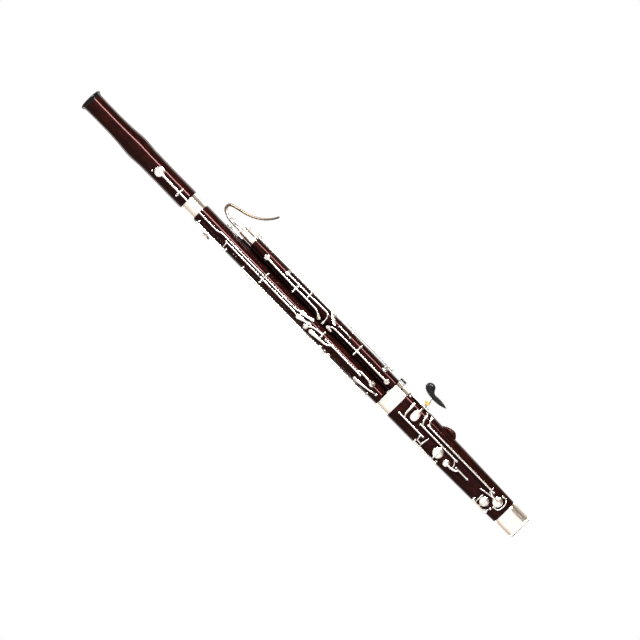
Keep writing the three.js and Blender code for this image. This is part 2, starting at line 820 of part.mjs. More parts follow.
function lowDKey() {
  const start = onLong(-17, 490, 6.5);
  const end = onLong(-17, 597, 6.5);
  posts("low_d_posts", longSurface, start, end);
  const at = (z) => between(start, end, (z - 490) / 107);
  key("low_d_key", tubeBetween(start, end), [
    arm(longSurface, onLong(-28, 634, 7.5), onLong(-26.4, 604, 7.5), 5, 2.4),
    arm(longSurface, onLong(-26.4, 604, 7.5), at(578), 2.4, 1.8),
    cup(longSurface, onLong(-12.5, 457, 1), 7.5),
    arm(longSurface, at(502), onLong(-11.2, 489, 6.5), 2, 2),
    arm(longSurface, onLong(-11.2, 489, 6.5), onLong(-12.5, 457, 5.4), 2, 2.8),
  ]);
}

// ---- Keys of the wing joint ----

function highDKey() {
  const line = crossLine(wingSurface, 5, 19.8, 724, 7);
  posts("high_d_posts", wingSurface, ...line);
  const hub = acrossAt(line, 14.5);
  key("high_d_key", hingeTube(acrossAt(line, 8), acrossAt(line, 16.8)), [
    cup(wingSurface, onWing(16.5, 817, 1), 7),
    arm(wingSurface, hub, onWing(16.5, 817, 5.4), 1.7, 2.4),
    arm(wingSurface, hub, onWing(14.5, 660, 7)),
    arm(wingSurface, onWing(14.5, 660, 7), onWing(5.2, 643, 9), 1.6, 4.6),
  ]);
}

function highCKey() {
  const line = crossLine(wingSurface, 20, 30.6, 692, 6.5);
  posts("high_c_posts", wingSurface, ...line);
  const hub = acrossAt(line, 25.4);
  key("high_c_key", hingeTube(acrossAt(line, 23), acrossAt(line, 27.6)), [
    cup(wingSurface, onWing(25, 760, 1), 5.8),
    arm(wingSurface, hub, onWing(25, 760, 5.2), 1.7, 2.2),
    arm(wingSurface, hub, onWing(27, 640, 7)),
    arm(wingSurface, onWing(27, 640, 7), onWing(18, 629.5, 7.5)),
    arm(wingSurface, onWing(18, 629.5, 7.5), onWing(3, 629, 9), ARM, 3.4),
  ]);
}

function thumbCSharpKey() {
  const line = crossLine(wingSurface, 5, 28, 532, 7);
  posts("thumb_c_sharp_posts", wingSurface, ...line);
  const hub = acrossAt(line, 14);
  key("thumb_c_sharp_key", hingeTube(acrossAt(line, 8), acrossAt(line, 20)), [
    cup(wingSurface, onWing(14, 438, 1), 7),
    arm(wingSurface, hub, onWing(14, 438, 5.4), 1.7, 2.4),
    arm(wingSurface, hub, onWing(13, 606, 7)),
    arm(wingSurface, onWing(13, 606, 7), onWing(5, 615, 9), 1.6, 4.6),
    arm(wingSurface, onWing(5, 615, 9), onWing(3.4, 604, 9), 4.2, 3.4),
  ]);
}

function whisperKey() {
  const start = onWing(36, 621, 6);
  const end = onWing(35, 866, 6);
  posts("whisper_posts", wingSurface, start, end, [0, 1]);
  const pad = new THREE.Vector3(18.4, -11, 937);
  const top = between(start, end, 0.96);
  const pillar = new THREE.Vector3(34, -17, 892);
  const facing = new THREE.Vector3(0.3, -1, 0);
  key("whisper_key", tubeBetween(start, end), [
    arm(wingSurface, between(start, end, 0.05), onWing(21.5, 610, 8), 1.7, 4.4),
    pill(top, top.clone().add(new THREE.Vector3(5.5, -1.5, 3)), 1.8, 1.6, facing),
    wire(
      [
        top.clone().add(new THREE.Vector3(5.5, -1.5, 3)),
        new THREE.Vector3(37.4, -18, 880),
        pillar,
        new THREE.Vector3(31, -17, 908),
        new THREE.Vector3(26, -15.5, 924),
        new THREE.Vector3(19, -13.5, 937),
      ],
      1.4,
      10,
    ),
    turnedAlong(
      [
        [0, 0],
        [3.6, 0],
        [3.6, 2],
        [0, 3],
      ],
      SIDES.cup,
      pad,
      new THREE.Vector3(0, -1, 0),
    ),
  ]);
}

function wingTrillKey() {
  const start = onWing(41.6, 448, 6);
  const end = onWing(41.6, 566, 6);
  posts("wing_trill_posts", wingSurface, start, end);
  const at = (z) => between(start, end, (z - 448) / 118);
  key("wing_trill_key", tubeBetween(start, end), [
    cup(wingSurface, aroundWing(34, 460, 1), 6.4),
    arm(wingSurface, at(460), aroundWing(58, 460, 6)),
    arm(wingSurface, aroundWing(58, 460, 6), aroundWing(34, 460, 4.4), ARM, 2.2),
    arm(wingSurface, at(555), aroundWing(104, 560, 7.5), 2, 4.4),
    arm(wingSurface, aroundWing(104, 560, 7.5), aroundWing(104, 588, 7.5), 4.4, 3),
  ]);
}

// ---- Keys on the front of the boot ----

function pancakeKey() {
  const start = onBoot(34.2, 324.5, 6);
  const end = onBoot(34.2, 379, 6);
  posts("pancake_posts", bootSurface, start, end);
  key("pancake_key", tubeBetween(start, end), [
    arm(bootSurface, onBoot(3.5, 341, 5.6), onBoot(13, 341.5, 5.6), 9.4, 8.6, 2.6),
    arm(bootSurface, onBoot(13, 341.5, 6.6), onBoot(26, 341, 8), 3, 2),
    arm(bootSurface, onBoot(26, 341, 8), onBoot(34.2, 341, 6.5), 2, 1.8),
  ]);
}

function bFlatThumbKey() {
  const start = onBoot(12.5, 100, 6.5);
  const end = onBoot(12.5, 305, 6.5);
  posts("b_flat_thumb_posts", bootSurface, start, end);
  key("b_flat_thumb_key", tubeBetween(start, end), [
    arm(bootSurface, onBoot(12.5, 297, 6.5), onBoot(21, 309, 8)),
    arm(bootSurface, onBoot(21, 309, 8), onBoot(30, 311, 8.5), ARM, 4.2),
    cup(bootSurface, onBoot(4, 79, 1.2), 11.5),
    arm(bootSurface, onBoot(12.5, 108, 6.5), onBoot(5.6, 100, 6)),
    arm(bootSurface, onBoot(5.6, 100, 6), onBoot(4, 79, 5.6), ARM, 3.4),
    arm(bootSurface, onBoot(19, 107.5, 6.2), onBoot(5.6, 105.5, 6.6), 1.3, 1.3),
    arm(bootSurface, onBoot(4, 92, 6.4), onBoot(-1.6, 126, 7.4), 1.4, 1.3),
    ball(onBoot(-1.6, 126, 7.4), 2.3),
  ]);
}

function fSharpThumbKeys() {
  const start = onBoot(2.5, 206, 6.5);
  const end = onBoot(2.5, 319, 6.5);
  posts("f_sharp_lever_posts", bootSurface, start, end);
  key("f_sharp_lever", tubeBetween(start, end), [
    arm(bootSurface, onBoot(2.5, 310, 6.5), onBoot(12, 320, 10.5)),
    arm(bootSurface, onBoot(12, 320, 10.5), onBoot(24, 323, 9), ARM, 4),
    arm(bootSurface, onBoot(2.5, 213, 6), onBoot(-6, 205, 2.2)),
    arm(bootSurface, onBoot(-6, 205, 2.2), onBoot(-14.6, 202, 2.2)),
  ]);

  const low = onBoot(-8.6, 162, 6.5);
  const high = onBoot(-8.6, 196, 6.5);
  posts("f_sharp_pad_posts", bootSurface, low, high);
  key("f_sharp_pad_key", tubeBetween(low, high), [
    cup(bootSurface, onBoot(-17, 219, 1), 8),
    arm(bootSurface, onBoot(-8.6, 188, 6.5), onBoot(-15, 194, 6)),
    arm(bootSurface, onBoot(-15, 194, 6), onBoot(-17, 219, 5.4), ARM, 2.6),
  ]);
}

function gSharpThumbKeys() {
  const start = onBoot(-13, 296.5, 6.5);
  const end = onBoot(-13, 370, 6.5);
  posts("g_sharp_lever_posts", bootSurface, start, end);
  key("g_sharp_lever", tubeBetween(start, end), [
    arm(bootSurface, onBoot(-13, 353, 6.5), onBoot(0, 360, 8)),
    arm(bootSurface, onBoot(0, 360, 8), onBoot(23, 361, 8.5), ARM, 4.4),
    arm(bootSurface, onBoot(-13, 303.5, 6), onBoot(-26.5, 292, 4)),
  ]);

  const low = onBoot(-34, 236, 6);
  const high = onBoot(-34, 302, 6);
  posts("g_sharp_pad_posts", bootSurface, low, high);
  key("g_sharp_pad_key", tubeBetween(low, high), [
    cup(bootSurface, onBoot(-14, 248, 1.2), 12.5),
    arm(bootSurface, onBoot(-34, 249, 6.2), onBoot(-26, 248.5, 6.6)),
    arm(bootSurface, onBoot(-26, 248.5, 6.6), onBoot(-14, 248, 5.6), ARM, 3.4),
    arm(bootSurface, onBoot(-34, 287, 6.2), onBoot(-25.5, 288.5, 8.2)),
  ]);
}

function lowFPad() {
  const start = onBoot(-31.4, 82, 6);
  const end = onBoot(-31.4, 120, 6);
  posts("low_f_pad_posts", bootSurface, start, end);
  key("low_f_pad_key", tubeBetween(start, end), [
    cup(bootSurface, onBoot(-16, 101, 5), 10.8),
    arm(bootSurface, onBoot(-31.4, 102, 6.2), onBoot(-24, 101, 9.6)),
    arm(bootSurface, onBoot(-24, 101, 9.6), onBoot(-16, 101, 9.2), ARM, 3),
  ]);
}

// ---- Keys on the back of the boot, under the right hand ----

const FINGER_AXIS = { x: 12, low: 84, high: 276, shares: [0, 0.29, 0.5, 0.71, 1] };

function fingerKeys() {
  const { x, low, high, shares } = FINGER_AXIS;
  const start = behindBoot(x, low, 6.5);
  const end = behindBoot(x, high, 6.5);
  posts("right_hand_posts", bootSurface, start, end, shares);
  const at = (z) => between(start, end, (z - low) / (high - low));
  const stretch = (index) => tubeBetween(start, end, shares[index], shares[index + 1]);

  key("low_f_key", stretch(0), [
    cup(bootSurface, behindBoot(-5, 106, 4), 8.5),
    arm(bootSurface, at(106), behindBoot(-5, 106, 7.8), ARM, 2.4),
    arm(bootSurface, behindBoot(-5, 106, 8.2), behindBoot(-17, 124, 8.2), 2.4, 5),
  ]);
  key("a_flat_key", stretch(1), [
    cup(bootSurface, behindBoot(-5, 159, 1), 7.5),
    arm(bootSurface, at(159), behindBoot(-5, 159, 5.2), ARM, 2.2),
    arm(bootSurface, at(150), behindBoot(25, 148, 9), ARM, 4.6),
  ]);
  key("f_sharp_finger_key", stretch(2), [
    cup(bootSurface, behindBoot(-5, 200, 1), 7.5),
    arm(bootSurface, at(200), behindBoot(-5, 200, 5.2), ARM, 2.2),
    arm(bootSurface, at(192), behindBoot(25, 188, 9), ARM, 4.6),
  ]);
  key("g_plateau_key", stretch(3), [
    cup(bootSurface, behindBoot(-4, 243, 4), 10.5),
    arm(bootSurface, at(243), behindBoot(-4, 243, 8), ARM, 3),
  ]);
}

bootJoint();
bootMetal();
uTube();
wingJoint();
wingTop();
jointLock();
bocal();
longJoint();
bellJoint();
handRest();
bellKey();
thumbLevers();
lowBPad();
littleFingerKeys();
lowCKey();
lowDKey();
highDKey();
highCKey();
thumbCSharpKey();
whisperKey();
wingTrillKey();
pancakeKey();
bFlatThumbKey();
fSharpThumbKeys();
gSharpThumbKeys();
lowFPad();
fingerKeys();

export default bassoon;
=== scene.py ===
"""Bassoon: the finished look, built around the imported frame.

Lengths are millimetres until a mesh is made.
"""

import math

import bmesh
import bpy
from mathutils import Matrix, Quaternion, Vector


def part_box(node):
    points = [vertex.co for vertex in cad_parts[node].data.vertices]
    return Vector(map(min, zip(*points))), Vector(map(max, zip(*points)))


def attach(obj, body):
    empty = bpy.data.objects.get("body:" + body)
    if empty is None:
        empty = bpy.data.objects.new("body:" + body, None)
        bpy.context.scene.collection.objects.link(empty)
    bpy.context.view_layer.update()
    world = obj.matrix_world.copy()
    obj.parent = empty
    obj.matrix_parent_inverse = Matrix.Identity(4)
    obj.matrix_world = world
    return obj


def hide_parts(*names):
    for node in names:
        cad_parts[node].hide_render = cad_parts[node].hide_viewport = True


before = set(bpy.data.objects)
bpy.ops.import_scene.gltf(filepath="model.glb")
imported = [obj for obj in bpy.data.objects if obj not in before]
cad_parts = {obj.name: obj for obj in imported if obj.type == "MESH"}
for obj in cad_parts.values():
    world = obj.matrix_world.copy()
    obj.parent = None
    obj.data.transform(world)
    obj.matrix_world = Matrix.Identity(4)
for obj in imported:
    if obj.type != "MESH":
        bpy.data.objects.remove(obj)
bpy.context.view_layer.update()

MM = 0.001
FRONT, BACK = -1, 1
Z_AXIS = Vector((0, 0, 1))


def mm_box(node):
    """A CAD node's lowest and highest corner, in millimetres."""
    low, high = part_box(node)
    return low / MM, high / MM


# ---- Driving dimensions, taken from the frame ----

RIM_LOW, RIM_HIGH = mm_box("bell_rim")
LONG_LOW, LONG_HIGH = mm_box("long_joint")
WING_BAND_LOW, WING_BAND_HIGH = mm_box("wing_top_band")
BOOT_BAND_LOW, BOOT_BAND_HIGH = mm_box("boot_band")
CAP_HIGH = mm_box("boot_cap")[1]
PIN_LOW, PIN_HIGH = mm_box("joint_lock_pin")

LONG_X = (LONG_LOW.x + LONG_HIGH.x) / 2
WING_X = (WING_BAND_LOW.x + WING_BAND_HIGH.x) / 2
BOOT_X = (BOOT_BAND_LOW.x + BOOT_BAND_HIGH.x) / 2
BOOT_HALF = (BOOT_BAND_HIGH.x - BOOT_BAND_LOW.x) / 2
BOOT_DEPTH = (BOOT_BAND_HIGH.y - BOOT_BAND_LOW.y) / 2
# The boot narrows downwards, from its full width near the band to this share of it at the cap.
BOOT_FOOT_SCALE = 30.5 / 36
BOOT_TAPER_LOW, BOOT_TAPER_HIGH = 52, 384
JOINT_GAP = 0.3
BOOT_BOTTOM = CAP_HIGH.z + JOINT_GAP
CAP_FLAT = 11
# Height of the dark band painted as shade round the foot of the cap.
CAP_SHADE_LINE_Z = 1.6
CHEEK_LOW, CHEEK_HIGH, CHEEK_TOP = 420.4, 856, 897
CHEEK_LEAN = 4
BAND_LOW, BOOT_TOP = BOOT_BAND_LOW.z, BOOT_BAND_HIGH.z
BELL_BAND_TOP = 1029
LONG_TOP = 991
WING_TOP = WING_BAND_LOW.z
JOINT_FOOT = 419.3
TENON = 35
LONG_BORE, WING_BORE = 6.5, 4.2
WING_HOLES = (675, 620, 560)
BOOT_HOLES = (338, 292)
BOCAL_X = 16.5

LONG_OUTLINE = [(419, 17.3), (470, 18.1), (550, 19.4), (700, 20.4), (870, 21.1), (991, 22)]
WING_OUTLINE = [(419, 15), (500, 16), (600, 15.2), (724, 13.9), (861, 12.5)]
BELL_OUTLINE = [
    (1029, 23), (1033, 24.5), (1100, 24), (1160, 24.6), (1178, 26.2), (1191, 27),
    (1206, 26), (1230, 23.8), (1261, 22.6), (1300, 22.5), (1330, 23.2),
]
BELL_BAND_RADIUS = 21.5
RIM_RADIUS = (RIM_HIGH.x - RIM_LOW.x) / 2
BELL_MOUTH = 16.5

TUBE_RADIUS = 2.1
PIN_RADIUS = 1.0
BALL_RADIUS = 2.6
CUP_HEIGHT = 3.6
ARM = 1.5
ARM_DEPTH = 2.2
# A cup held higher than this over the wood at rest belongs to a key that stands open.
OPEN_LIFT = 2


# ---- Surfaces that the keywork stands on ----


def along(outline, z):
    """The radius of an outline at a height."""
    for (low_z, low), (high_z, high) in zip(outline, outline[1:]):
        if z < high_z:
            return low + (high - low) * max(z - low_z, 0) / (high_z - low_z)
    return outline[-1][1]


def smooth_along(outline, z):
    """The same outline with its corners rounded, by averaging over a short stretch."""
    span = 7
    return sum(along(outline, z + span * step / 4) for step in range(-4, 5)) / 9


def boot_scale(z):
    """The boot's width at a height, as a share of its width at the band."""
    share = min(max((z - BOOT_TAPER_LOW) / (BOOT_TAPER_HIGH - BOOT_TAPER_LOW), 0), 1)
    return BOOT_FOOT_SCALE + (1 - BOOT_FOOT_SCALE) * math.sin(share * math.pi / 2)


class Surface:
    """A joint's outside: round, or with flat faces between two round lobes."""

    def __init__(self, x, flat, radius):
        self.x, self.flat, self.radius = x, flat, radius

    def over(self, x, z, lift, side=FRONT):
        """The point above the front or back face at a place across the joint."""
        past = max(abs(x - self.x(z)) - self.flat(z), 0)
        reach = self.radius(z) + lift
        return Vector((x, side * math.sqrt(max(reach**2 - past**2, 0)), z))

    def around(self, degrees, z, lift):
        """The point above a round joint at a bearing from its front."""
        angle = math.radians(degrees)
        reach = self.radius(z) + lift
        return Vector((self.x(z) + reach * math.sin(angle), -reach * math.cos(angle), z))

    def outward(self, point):
        """The direction straight out at a point, and the point's height over the surface."""
        across = point.x - self.x(point.z)
        flat = self.flat(point.z)
        core = max(-flat, min(flat, across))
        out = Vector((across - core, point.y, 0))
        return out.normalized(), out.length - self.radius(point.z)

    def cross_line(self, left, right, z, lift):
        """The two ends of a level hinge line in front of the joint."""
        y = -(self.radius(z) + lift)
        return Vector((left, y, z)), Vector((right, y, z))


def bell_radius(z):
    return BELL_BAND_RADIUS if z < BELL_BAND_TOP else along(BELL_OUTLINE, z)


LONG = Surface(lambda z: LONG_X, lambda z: 0, lambda z: along(LONG_OUTLINE, z))
WING = Surface(lambda z: WING_X, lambda z: 0, lambda z: along(WING_OUTLINE, z))
BELL = Surface(lambda z: LONG_X, lambda z: 0, bell_radius)
BOOT = Surface(
    lambda z: BOOT_X * boot_scale(z),
    lambda z: (BOOT_HALF - BOOT_DEPTH) * boot_scale(z),
    lambda z: BOOT_DEPTH * boot_scale(z),
)


# ---- Mesh making ----


class Shape:
    """Vertices and faces gathered in millimetres, which become one mesh in metres."""

    def __init__(self):
        self.verts = []
        self.faces = []

    def add(self, verts, faces):
        start = len(self.verts)
        self.verts += [Vector(v) for v in verts]
        self.faces += [[start + i for i in face] for face in faces]
        return self

    def rings(self, rings, start_cap=True, end_cap=True, closed=False):
        """Joins rings of equal length by quads. A ring of one point is a pole."""
        start = len(self.verts)
        places = []
        for ring in rings:
            places.append([start + i for i in range(len(ring))])
            start += len(ring)
            self.verts += [Vector(v) for v in ring]
        pairs = list(zip(places, places[1:]))
        if closed:
            pairs.append((places[-1], places[0]))
        for low, high in pairs:
            count = max(len(low), len(high))
            for i in range(count):
                j = (i + 1) % count
                if len(low) == 1:
                    self.faces.append([low[0], high[j], high[i]])
                elif len(high) == 1:
                    self.faces.append([low[i], low[j], high[0]])
                else:
                    self.faces.append([low[i], low[j], high[j], high[i]])
        if not closed and start_cap and len(places[0]) > 2:
            self.faces.append(places[0][::-1])
        if not closed and end_cap and len(places[-1]) > 2:
            self.faces.append(places[-1])
        return self

    def object(self, name, material, smooth_angle=38):
        mesh = bpy.data.meshes.new(name)
        mesh.from_pydata([v * MM for v in self.verts], [], self.faces)
        shell = bmesh.new()
        shell.from_mesh(mesh)
        bmesh.ops.recalc_face_normals(shell, faces=shell.faces)
        shell.to_mesh(mesh)
        shell.free()
        mesh.polygons.foreach_set("use_smooth", [True] * len(mesh.polygons))
        mesh.set_sharp_from_angle(angle=math.radians(smooth_angle))
        mesh.materials.append(material)
        made = bpy.data.objects.new(name, mesh)
        bpy.context.scene.collection.objects.link(made)
        return made


def frame_for(direction):
    """Two unit vectors square to a direction and to each other."""
    aside = Vector((1, 0, 0)) if abs(direction.x) < 0.8 else Vector((0, 1, 0))
    first = direction.cross(aside).normalized()
    return first, direction.cross(first).normalized()


def lathe(shape, profile, start, direction, sides=32, closed=False):
    """Adds a turned form from (radius, height) points about a line."""
    direction = direction.normalized()
    first, second = frame_for(direction)
    rings = []
    for radius, height in profile:
        centre = start + direction * height
        if radius < 1e-6:
            rings.append([centre])
            continue
        turns = [2 * math.pi * i / sides for i in range(sides)]
        rings.append([centre + (first * math.cos(t) + second * math.sin(t)) * radius for t in turns])
    return shape.rings(rings, closed=closed)


def upright(shape, profile, x, sides=96, closed=False, y=0):
    """A turned form whose profile heights are Z in the frame."""
    return lathe(shape, profile, Vector((x, y, 0)), Z_AXIS, sides, closed)


def rounded(profile, radius=0.5, steps=3):
    """A profile with each inner corner replaced by a short arc."""
    points = [Vector(p) for p in profile]
    made = [tuple(points[0])]
    for before, corner, after in zip(points, points[1:], points[2:]):
        back, ahead = before - corner, after - corner
        cut = min(radius, back.length * 0.45, ahead.length * 0.45)
        if cut < 1e-4:
            made.append(tuple(corner))
            continue
        start, end = corner + back.normalized() * cut, corner + ahead.normalized() * cut
        for step in range(steps + 1):
            t = step / steps
            made.append(tuple(start.lerp(corner, t).lerp(corner.lerp(end, t), t)))
    made.append(tuple(points[-1]))
    return made


def rod(shape, start, end, radius, sides=20, edge=0.35):
    """Adds a round bar with softened ends."""
    length = (end - start).length
    edge = min(edge, radius * 0.5, length * 0.3)
    profile = [(0, 0), (radius - edge, 0), (radius - edge * 0.3, edge * 0.3), (radius, edge)]
    profile += [(radius, length - edge), (radius - edge * 0.3, length - edge * 0.3)]
    profile += [(radius - edge, length), (0, length)]
    return lathe(shape, profile, start, end - start, sides)


def ball(shape, centre, radius, sides=20, stretch=1.0, direction=Z_AXIS):
    """Adds a ball, or a lens where stretch is under 1."""
    steps = sides // 2
    profile = []
    for step in range(steps + 1):
        angle = math.pi * step / steps
        profile.append((max(radius * math.sin(angle), 0), -radius * stretch * math.cos(angle)))
    profile[0] = (0, profile[0][1])
    profile[-1] = (0, profile[-1][1])
    return lathe(shape, profile, centre, direction, sides)


def fine_path(points, per_span=8):
    """A Catmull-Rom curve through the points."""
    points = [Vector(p) for p in points]
    ends = [points[0] * 2 - points[1], *points, points[-1] * 2 - points[-2]]
    made = []
    for a, b, c, d in zip(ends, ends[1:], ends[2:], ends[3:]):
        for step in range(per_span):
            t = step / per_span
            made.append(
                0.5 * (2 * b + (c - a) * t + (2 * a - 5 * b + 4 * c - d) * t**2
                       + (3 * b - a - 3 * c + d) * t**3)
            )
    made.append(points[-1])
    return made


def sweep(shape, points, radii, sides=16, flatten=1.0, facing=None, round_ends=True):
    """Adds a tube along a path. radii is a number or a function of 0..1. facing keeps its flat side."""
    radius_at = radii if callable(radii) else (lambda share: radii)
    lengths = [0.0]
    for before, after in zip(points, points[1:]):
        lengths.append(lengths[-1] + (after - before).length)
    rings = []
    tangents = []
    for i in range(len(points)):
        tangents.append((points[min(i + 1, len(points) - 1)] - points[max(i - 1, 0)]).normalized())
    first = facing.cross(tangents[0]).normalized() if facing else frame_for(tangents[0])[0]
    for i, (point, tangent) in enumerate(zip(points, tangents)):
        first = facing.cross(tangent) if facing else first - tangent * first.dot(tangent)
        first.normalize()
        second = tangent.cross(first).normalized()
        radius = radius_at(lengths[i] / lengths[-1])
        steps = [(radius, 0.0)]
        if round_ends and i == 0:
            steps = [(radius * s, -radius * c * flatten) for s, c in ((0.35, 0.9), (0.72, 0.6))] + steps
        if round_ends and i == len(points) - 1:
            steps = steps + [(radius * s, radius * c * flatten) for s, c in ((0.72, 0.6), (0.35, 0.9))]
        for size, shift in steps:
            centre = point + tangent * shift
            rings.append([
                centre + first * math.cos(2 * math.pi * k / sides) * size
                + second * math.sin(2 * math.pi * k / sides) * size * flatten
                for k in range(sides)
            ])
    return shape.rings(rings)


def pill(shape, a, b, ra, rb, normal, depth=ARM_DEPTH, crown=0.0):
    """Adds a bar with round ends and softened edges, like a filed key arm or a touch."""
    axis = b - a
    length = axis.length
    axis.normalize()
    across = axis.cross(normal).normalized()
    facing = across.cross(axis).normalized()
    lean = math.acos(max(-1, min(1, (ra - rb) / length)))
    steps = 10
    outline = []
    for step in range(steps + 1):
        angle = lean + (2 * math.pi - 2 * lean) * step / steps
        outline.append((Vector((0, 0)), ra, angle))
    for step in range(steps + 1):
        angle = -lean + 2 * lean * step / steps
        outline.append((Vector((length, 0)), rb, angle))
    soft = min(0.85, depth * 0.42, min(ra, rb) * 0.6)
    levels = []
    for angle in (0, 30, 60, 90):
        turn = math.radians(angle)
        levels.append((soft * (1 - math.sin(turn)), -depth / 2 + soft * (1 - math.cos(turn))))
    levels += [(inset, -height) for inset, height in reversed(levels)]
    if crown:
        top = levels[-1][1]
        levels += [(min(ra, rb) * 0.45, top + crown * 0.7), (min(ra, rb) * 0.8, top + crown)]
    rings = []
    for inset, height in levels:
        ring = []
        for centre, radius, angle in outline:
            reach = max(radius - inset, 0.02)
            flat = centre + Vector((math.cos(angle), math.sin(angle))) * reach
            ring.append(a + axis * flat.x + across * flat.y + facing * height)
        rings.append(ring)
    return shape.rings(rings)


def box(shape, low, high):
    """Adds a plain box, which gets its rounded edges from bevelled()."""
    ends = list(zip(low, high))
    corners = [Vector((x, y, z)) for z in ends[2] for y in ends[1] for x in ends[0]]
    faces = [(0, 2, 3, 1), (4, 5, 7, 6), (0, 1, 5, 4), (2, 6, 7, 3), (0, 4, 6, 2), (1, 3, 7, 5)]
    return shape.add(corners, faces)


def bevelled(made, width, segments=3, angle=35):
    """Rounds an object's sharp edges and applies the result."""
    bevel = made.modifiers.new("edge", "BEVEL")
    bevel.width = width * MM
    bevel.segments = segments
    bevel.limit_method = "ANGLE"
    bevel.angle_limit = math.radians(angle)
    applied(made)
    return made


def applied(made, smooth_angle=38):
    """Replaces an object's mesh by what its modifiers make of it."""
    graph = bpy.context.evaluated_depsgraph_get()
    graph.update()
    mesh = bpy.data.meshes.new_from_object(made.evaluated_get(graph))
    made.modifiers.clear()
    made.data = mesh
    mesh.polygons.foreach_set("use_smooth", [True] * len(mesh.polygons))
    mesh.set_sharp_from_angle(angle=math.radians(smooth_angle))
    return made


def drilled(made, cutters):
    """Cuts closed shapes out of an object."""
    for cutter in cutters:
        tool = cutter.object("cutter", made.data.materials[0])
        hole = made.modifiers.new("hole", "BOOLEAN")
        hole.object = tool
        hole.operation = "DIFFERENCE"
        hole.solver = "EXACT"
        applied(made)
        bpy.data.objects.remove(tool)
    return made


def finish_piece(made, body, slot, *nodes):
    """Rides a piece on a body and hides the CAD nodes that it stands for; slot is not used."""
    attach(made, body)
    if nodes:
        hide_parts(*nodes)
    return made


# ---- Materials ----


class Nodes:
    """A short way to build one material's nodes around its Principled shader."""

    def __init__(self, name):
        self.material = bpy.data.materials.new(name)
        self.material.use_nodes = True
        self.tree = self.material.node_tree
        self.shader = self.tree.nodes["Principled BSDF"]
        self.place = self.tree.nodes.new("ShaderNodeTexCoord").outputs["Object"]

    def set(self, **values):
        for socket, value in values.items():
            self.shader.inputs[socket.replace("_", " ")].default_value = value
        return self

    def node(self, kind, **settings):
        made = self.tree.nodes.new(kind)
        for key, value in settings.items():
            setattr(made, key, value)
        return made

    def link(self, source, target):
        self.tree.links.new(source, target)

    def stretched(self, scale):
        mapping = self.node("ShaderNodeMapping")
        mapping.inputs["Scale"].default_value = scale
        self.link(self.place, mapping.inputs["Vector"])
        return mapping.outputs["Vector"]

    def noise(self, scale, detail=4.0, stretch=(1, 1, 1), distortion=0.0):
        made = self.node("ShaderNodeTexNoise")
        made.inputs["Scale"].default_value = scale
        made.inputs["Detail"].default_value = detail
        made.inputs["Distortion"].default_value = distortion
        self.link(self.stretched(stretch), made.inputs["Vector"])
        return made.outputs["Fac"]

    def ramp(self, factor, *stops):
        made = self.node("ShaderNodeValToRGB")
        elements = made.color_ramp.elements
        while len(elements) < len(stops):
            elements.new(0.5)
        for element, (position, colour) in zip(elements, stops):
            element.position = position
            element.color = colour if len(colour) == 4 else (*colour, 1)
        self.link(factor, made.inputs["Fac"])
        return made.outputs["Color"]

    def range(self, factor, low, high, start=0.3, end=0.7):
        made = self.node("ShaderNodeMapRange")
        for socket, value in (("From Min", start), ("From Max", end), ("To Min", low), ("To Max", high)):
            made.inputs[socket].default_value = value
        self.link(factor, made.inputs["Value"])
        return made.outputs["Result"]

    def average(self, first, second):
        made = self.node("ShaderNodeMix", data_type="FLOAT")
        made.inputs["Factor"].default_value = 0.5
        self.link(first, made.inputs["A"])
        self.link(second, made.inputs["B"])
        return made.outputs["Result"]

    def colour(self, source):
        self.link(source, self.shader.inputs["Base Color"])
        return self

    def roughness(self, source):
        self.link(source, self.shader.inputs["Roughness"])
        return self

    def bump(self, height, distance, strength=0.5):
        made = self.node("ShaderNodeBump")
        made.inputs["Strength"].default_value = strength
        made.inputs["Distance"].default_value = distance
        self.link(height, made.inputs["Height"])
        self.link(made.outputs["Normal"], self.shader.inputs["Normal"])
        return self


def lacquered_maple():
    """Maple stained almost black-red, with flame and pores under a thick gloss lacquer."""
    n = Nodes("lacquered_maple")
    n.set(Metallic=0, IOR=1.5, Specular_IOR_Level=0.12, Specular_Tint=(1.0, 0.46, 0.47, 1))
    flame = n.noise(95, 3, (1, 1, 0.42), 1.6)
    grain = n.noise(900, 5, (1, 1, 0.035))
    stain = n.ramp(
        flame,
        (0.30, (0.0026, 0.0007, 0.0005)),
        (0.52, (0.0075, 0.0015, 0.0010)),
        (0.74, (0.0185, 0.0034, 0.0018)),
    )
    pores = n.ramp(grain, (0.36, (0.30, 0.26, 0.26)), (0.56, (1, 1, 1)))
    full = n.node("ShaderNodeMix", data_type="RGBA", blend_type="MULTIPLY")
    full.inputs["Factor"].default_value = 0.75
    n.link(stain, full.inputs["A"])
    n.link(pores, full.inputs["B"])
    n.colour(full.outputs["Result"])
    n.roughness(n.range(n.noise(160, 5), 0.07, 0.15))
    n.bump(grain, 0.00004, 0.25)
    return n.material


def silver(name="polished_silver", tone=(0.86, 0.83, 0.79), low=0.07, high=0.2):
    """Silver plate with faint tarnish, polishing marks and finger wear."""
    n = Nodes(name)
    n.set(Metallic=1)
    cloud = n.noise(130, 5)
    warm = tuple(c * k for c, k in zip(tone, (0.90, 0.86, 0.78)))
    n.colour(n.ramp(cloud, (0.28, warm), (0.5, tone), (0.8, tuple(min(1, c * 1.04) for c in tone))))
    marks = n.noise(1500, 3, (1, 1, 0.12))
    n.roughness(n.range(n.average(cloud, marks), low, high))
    n.bump(marks, 0.00002, 0.18)
    return n.material


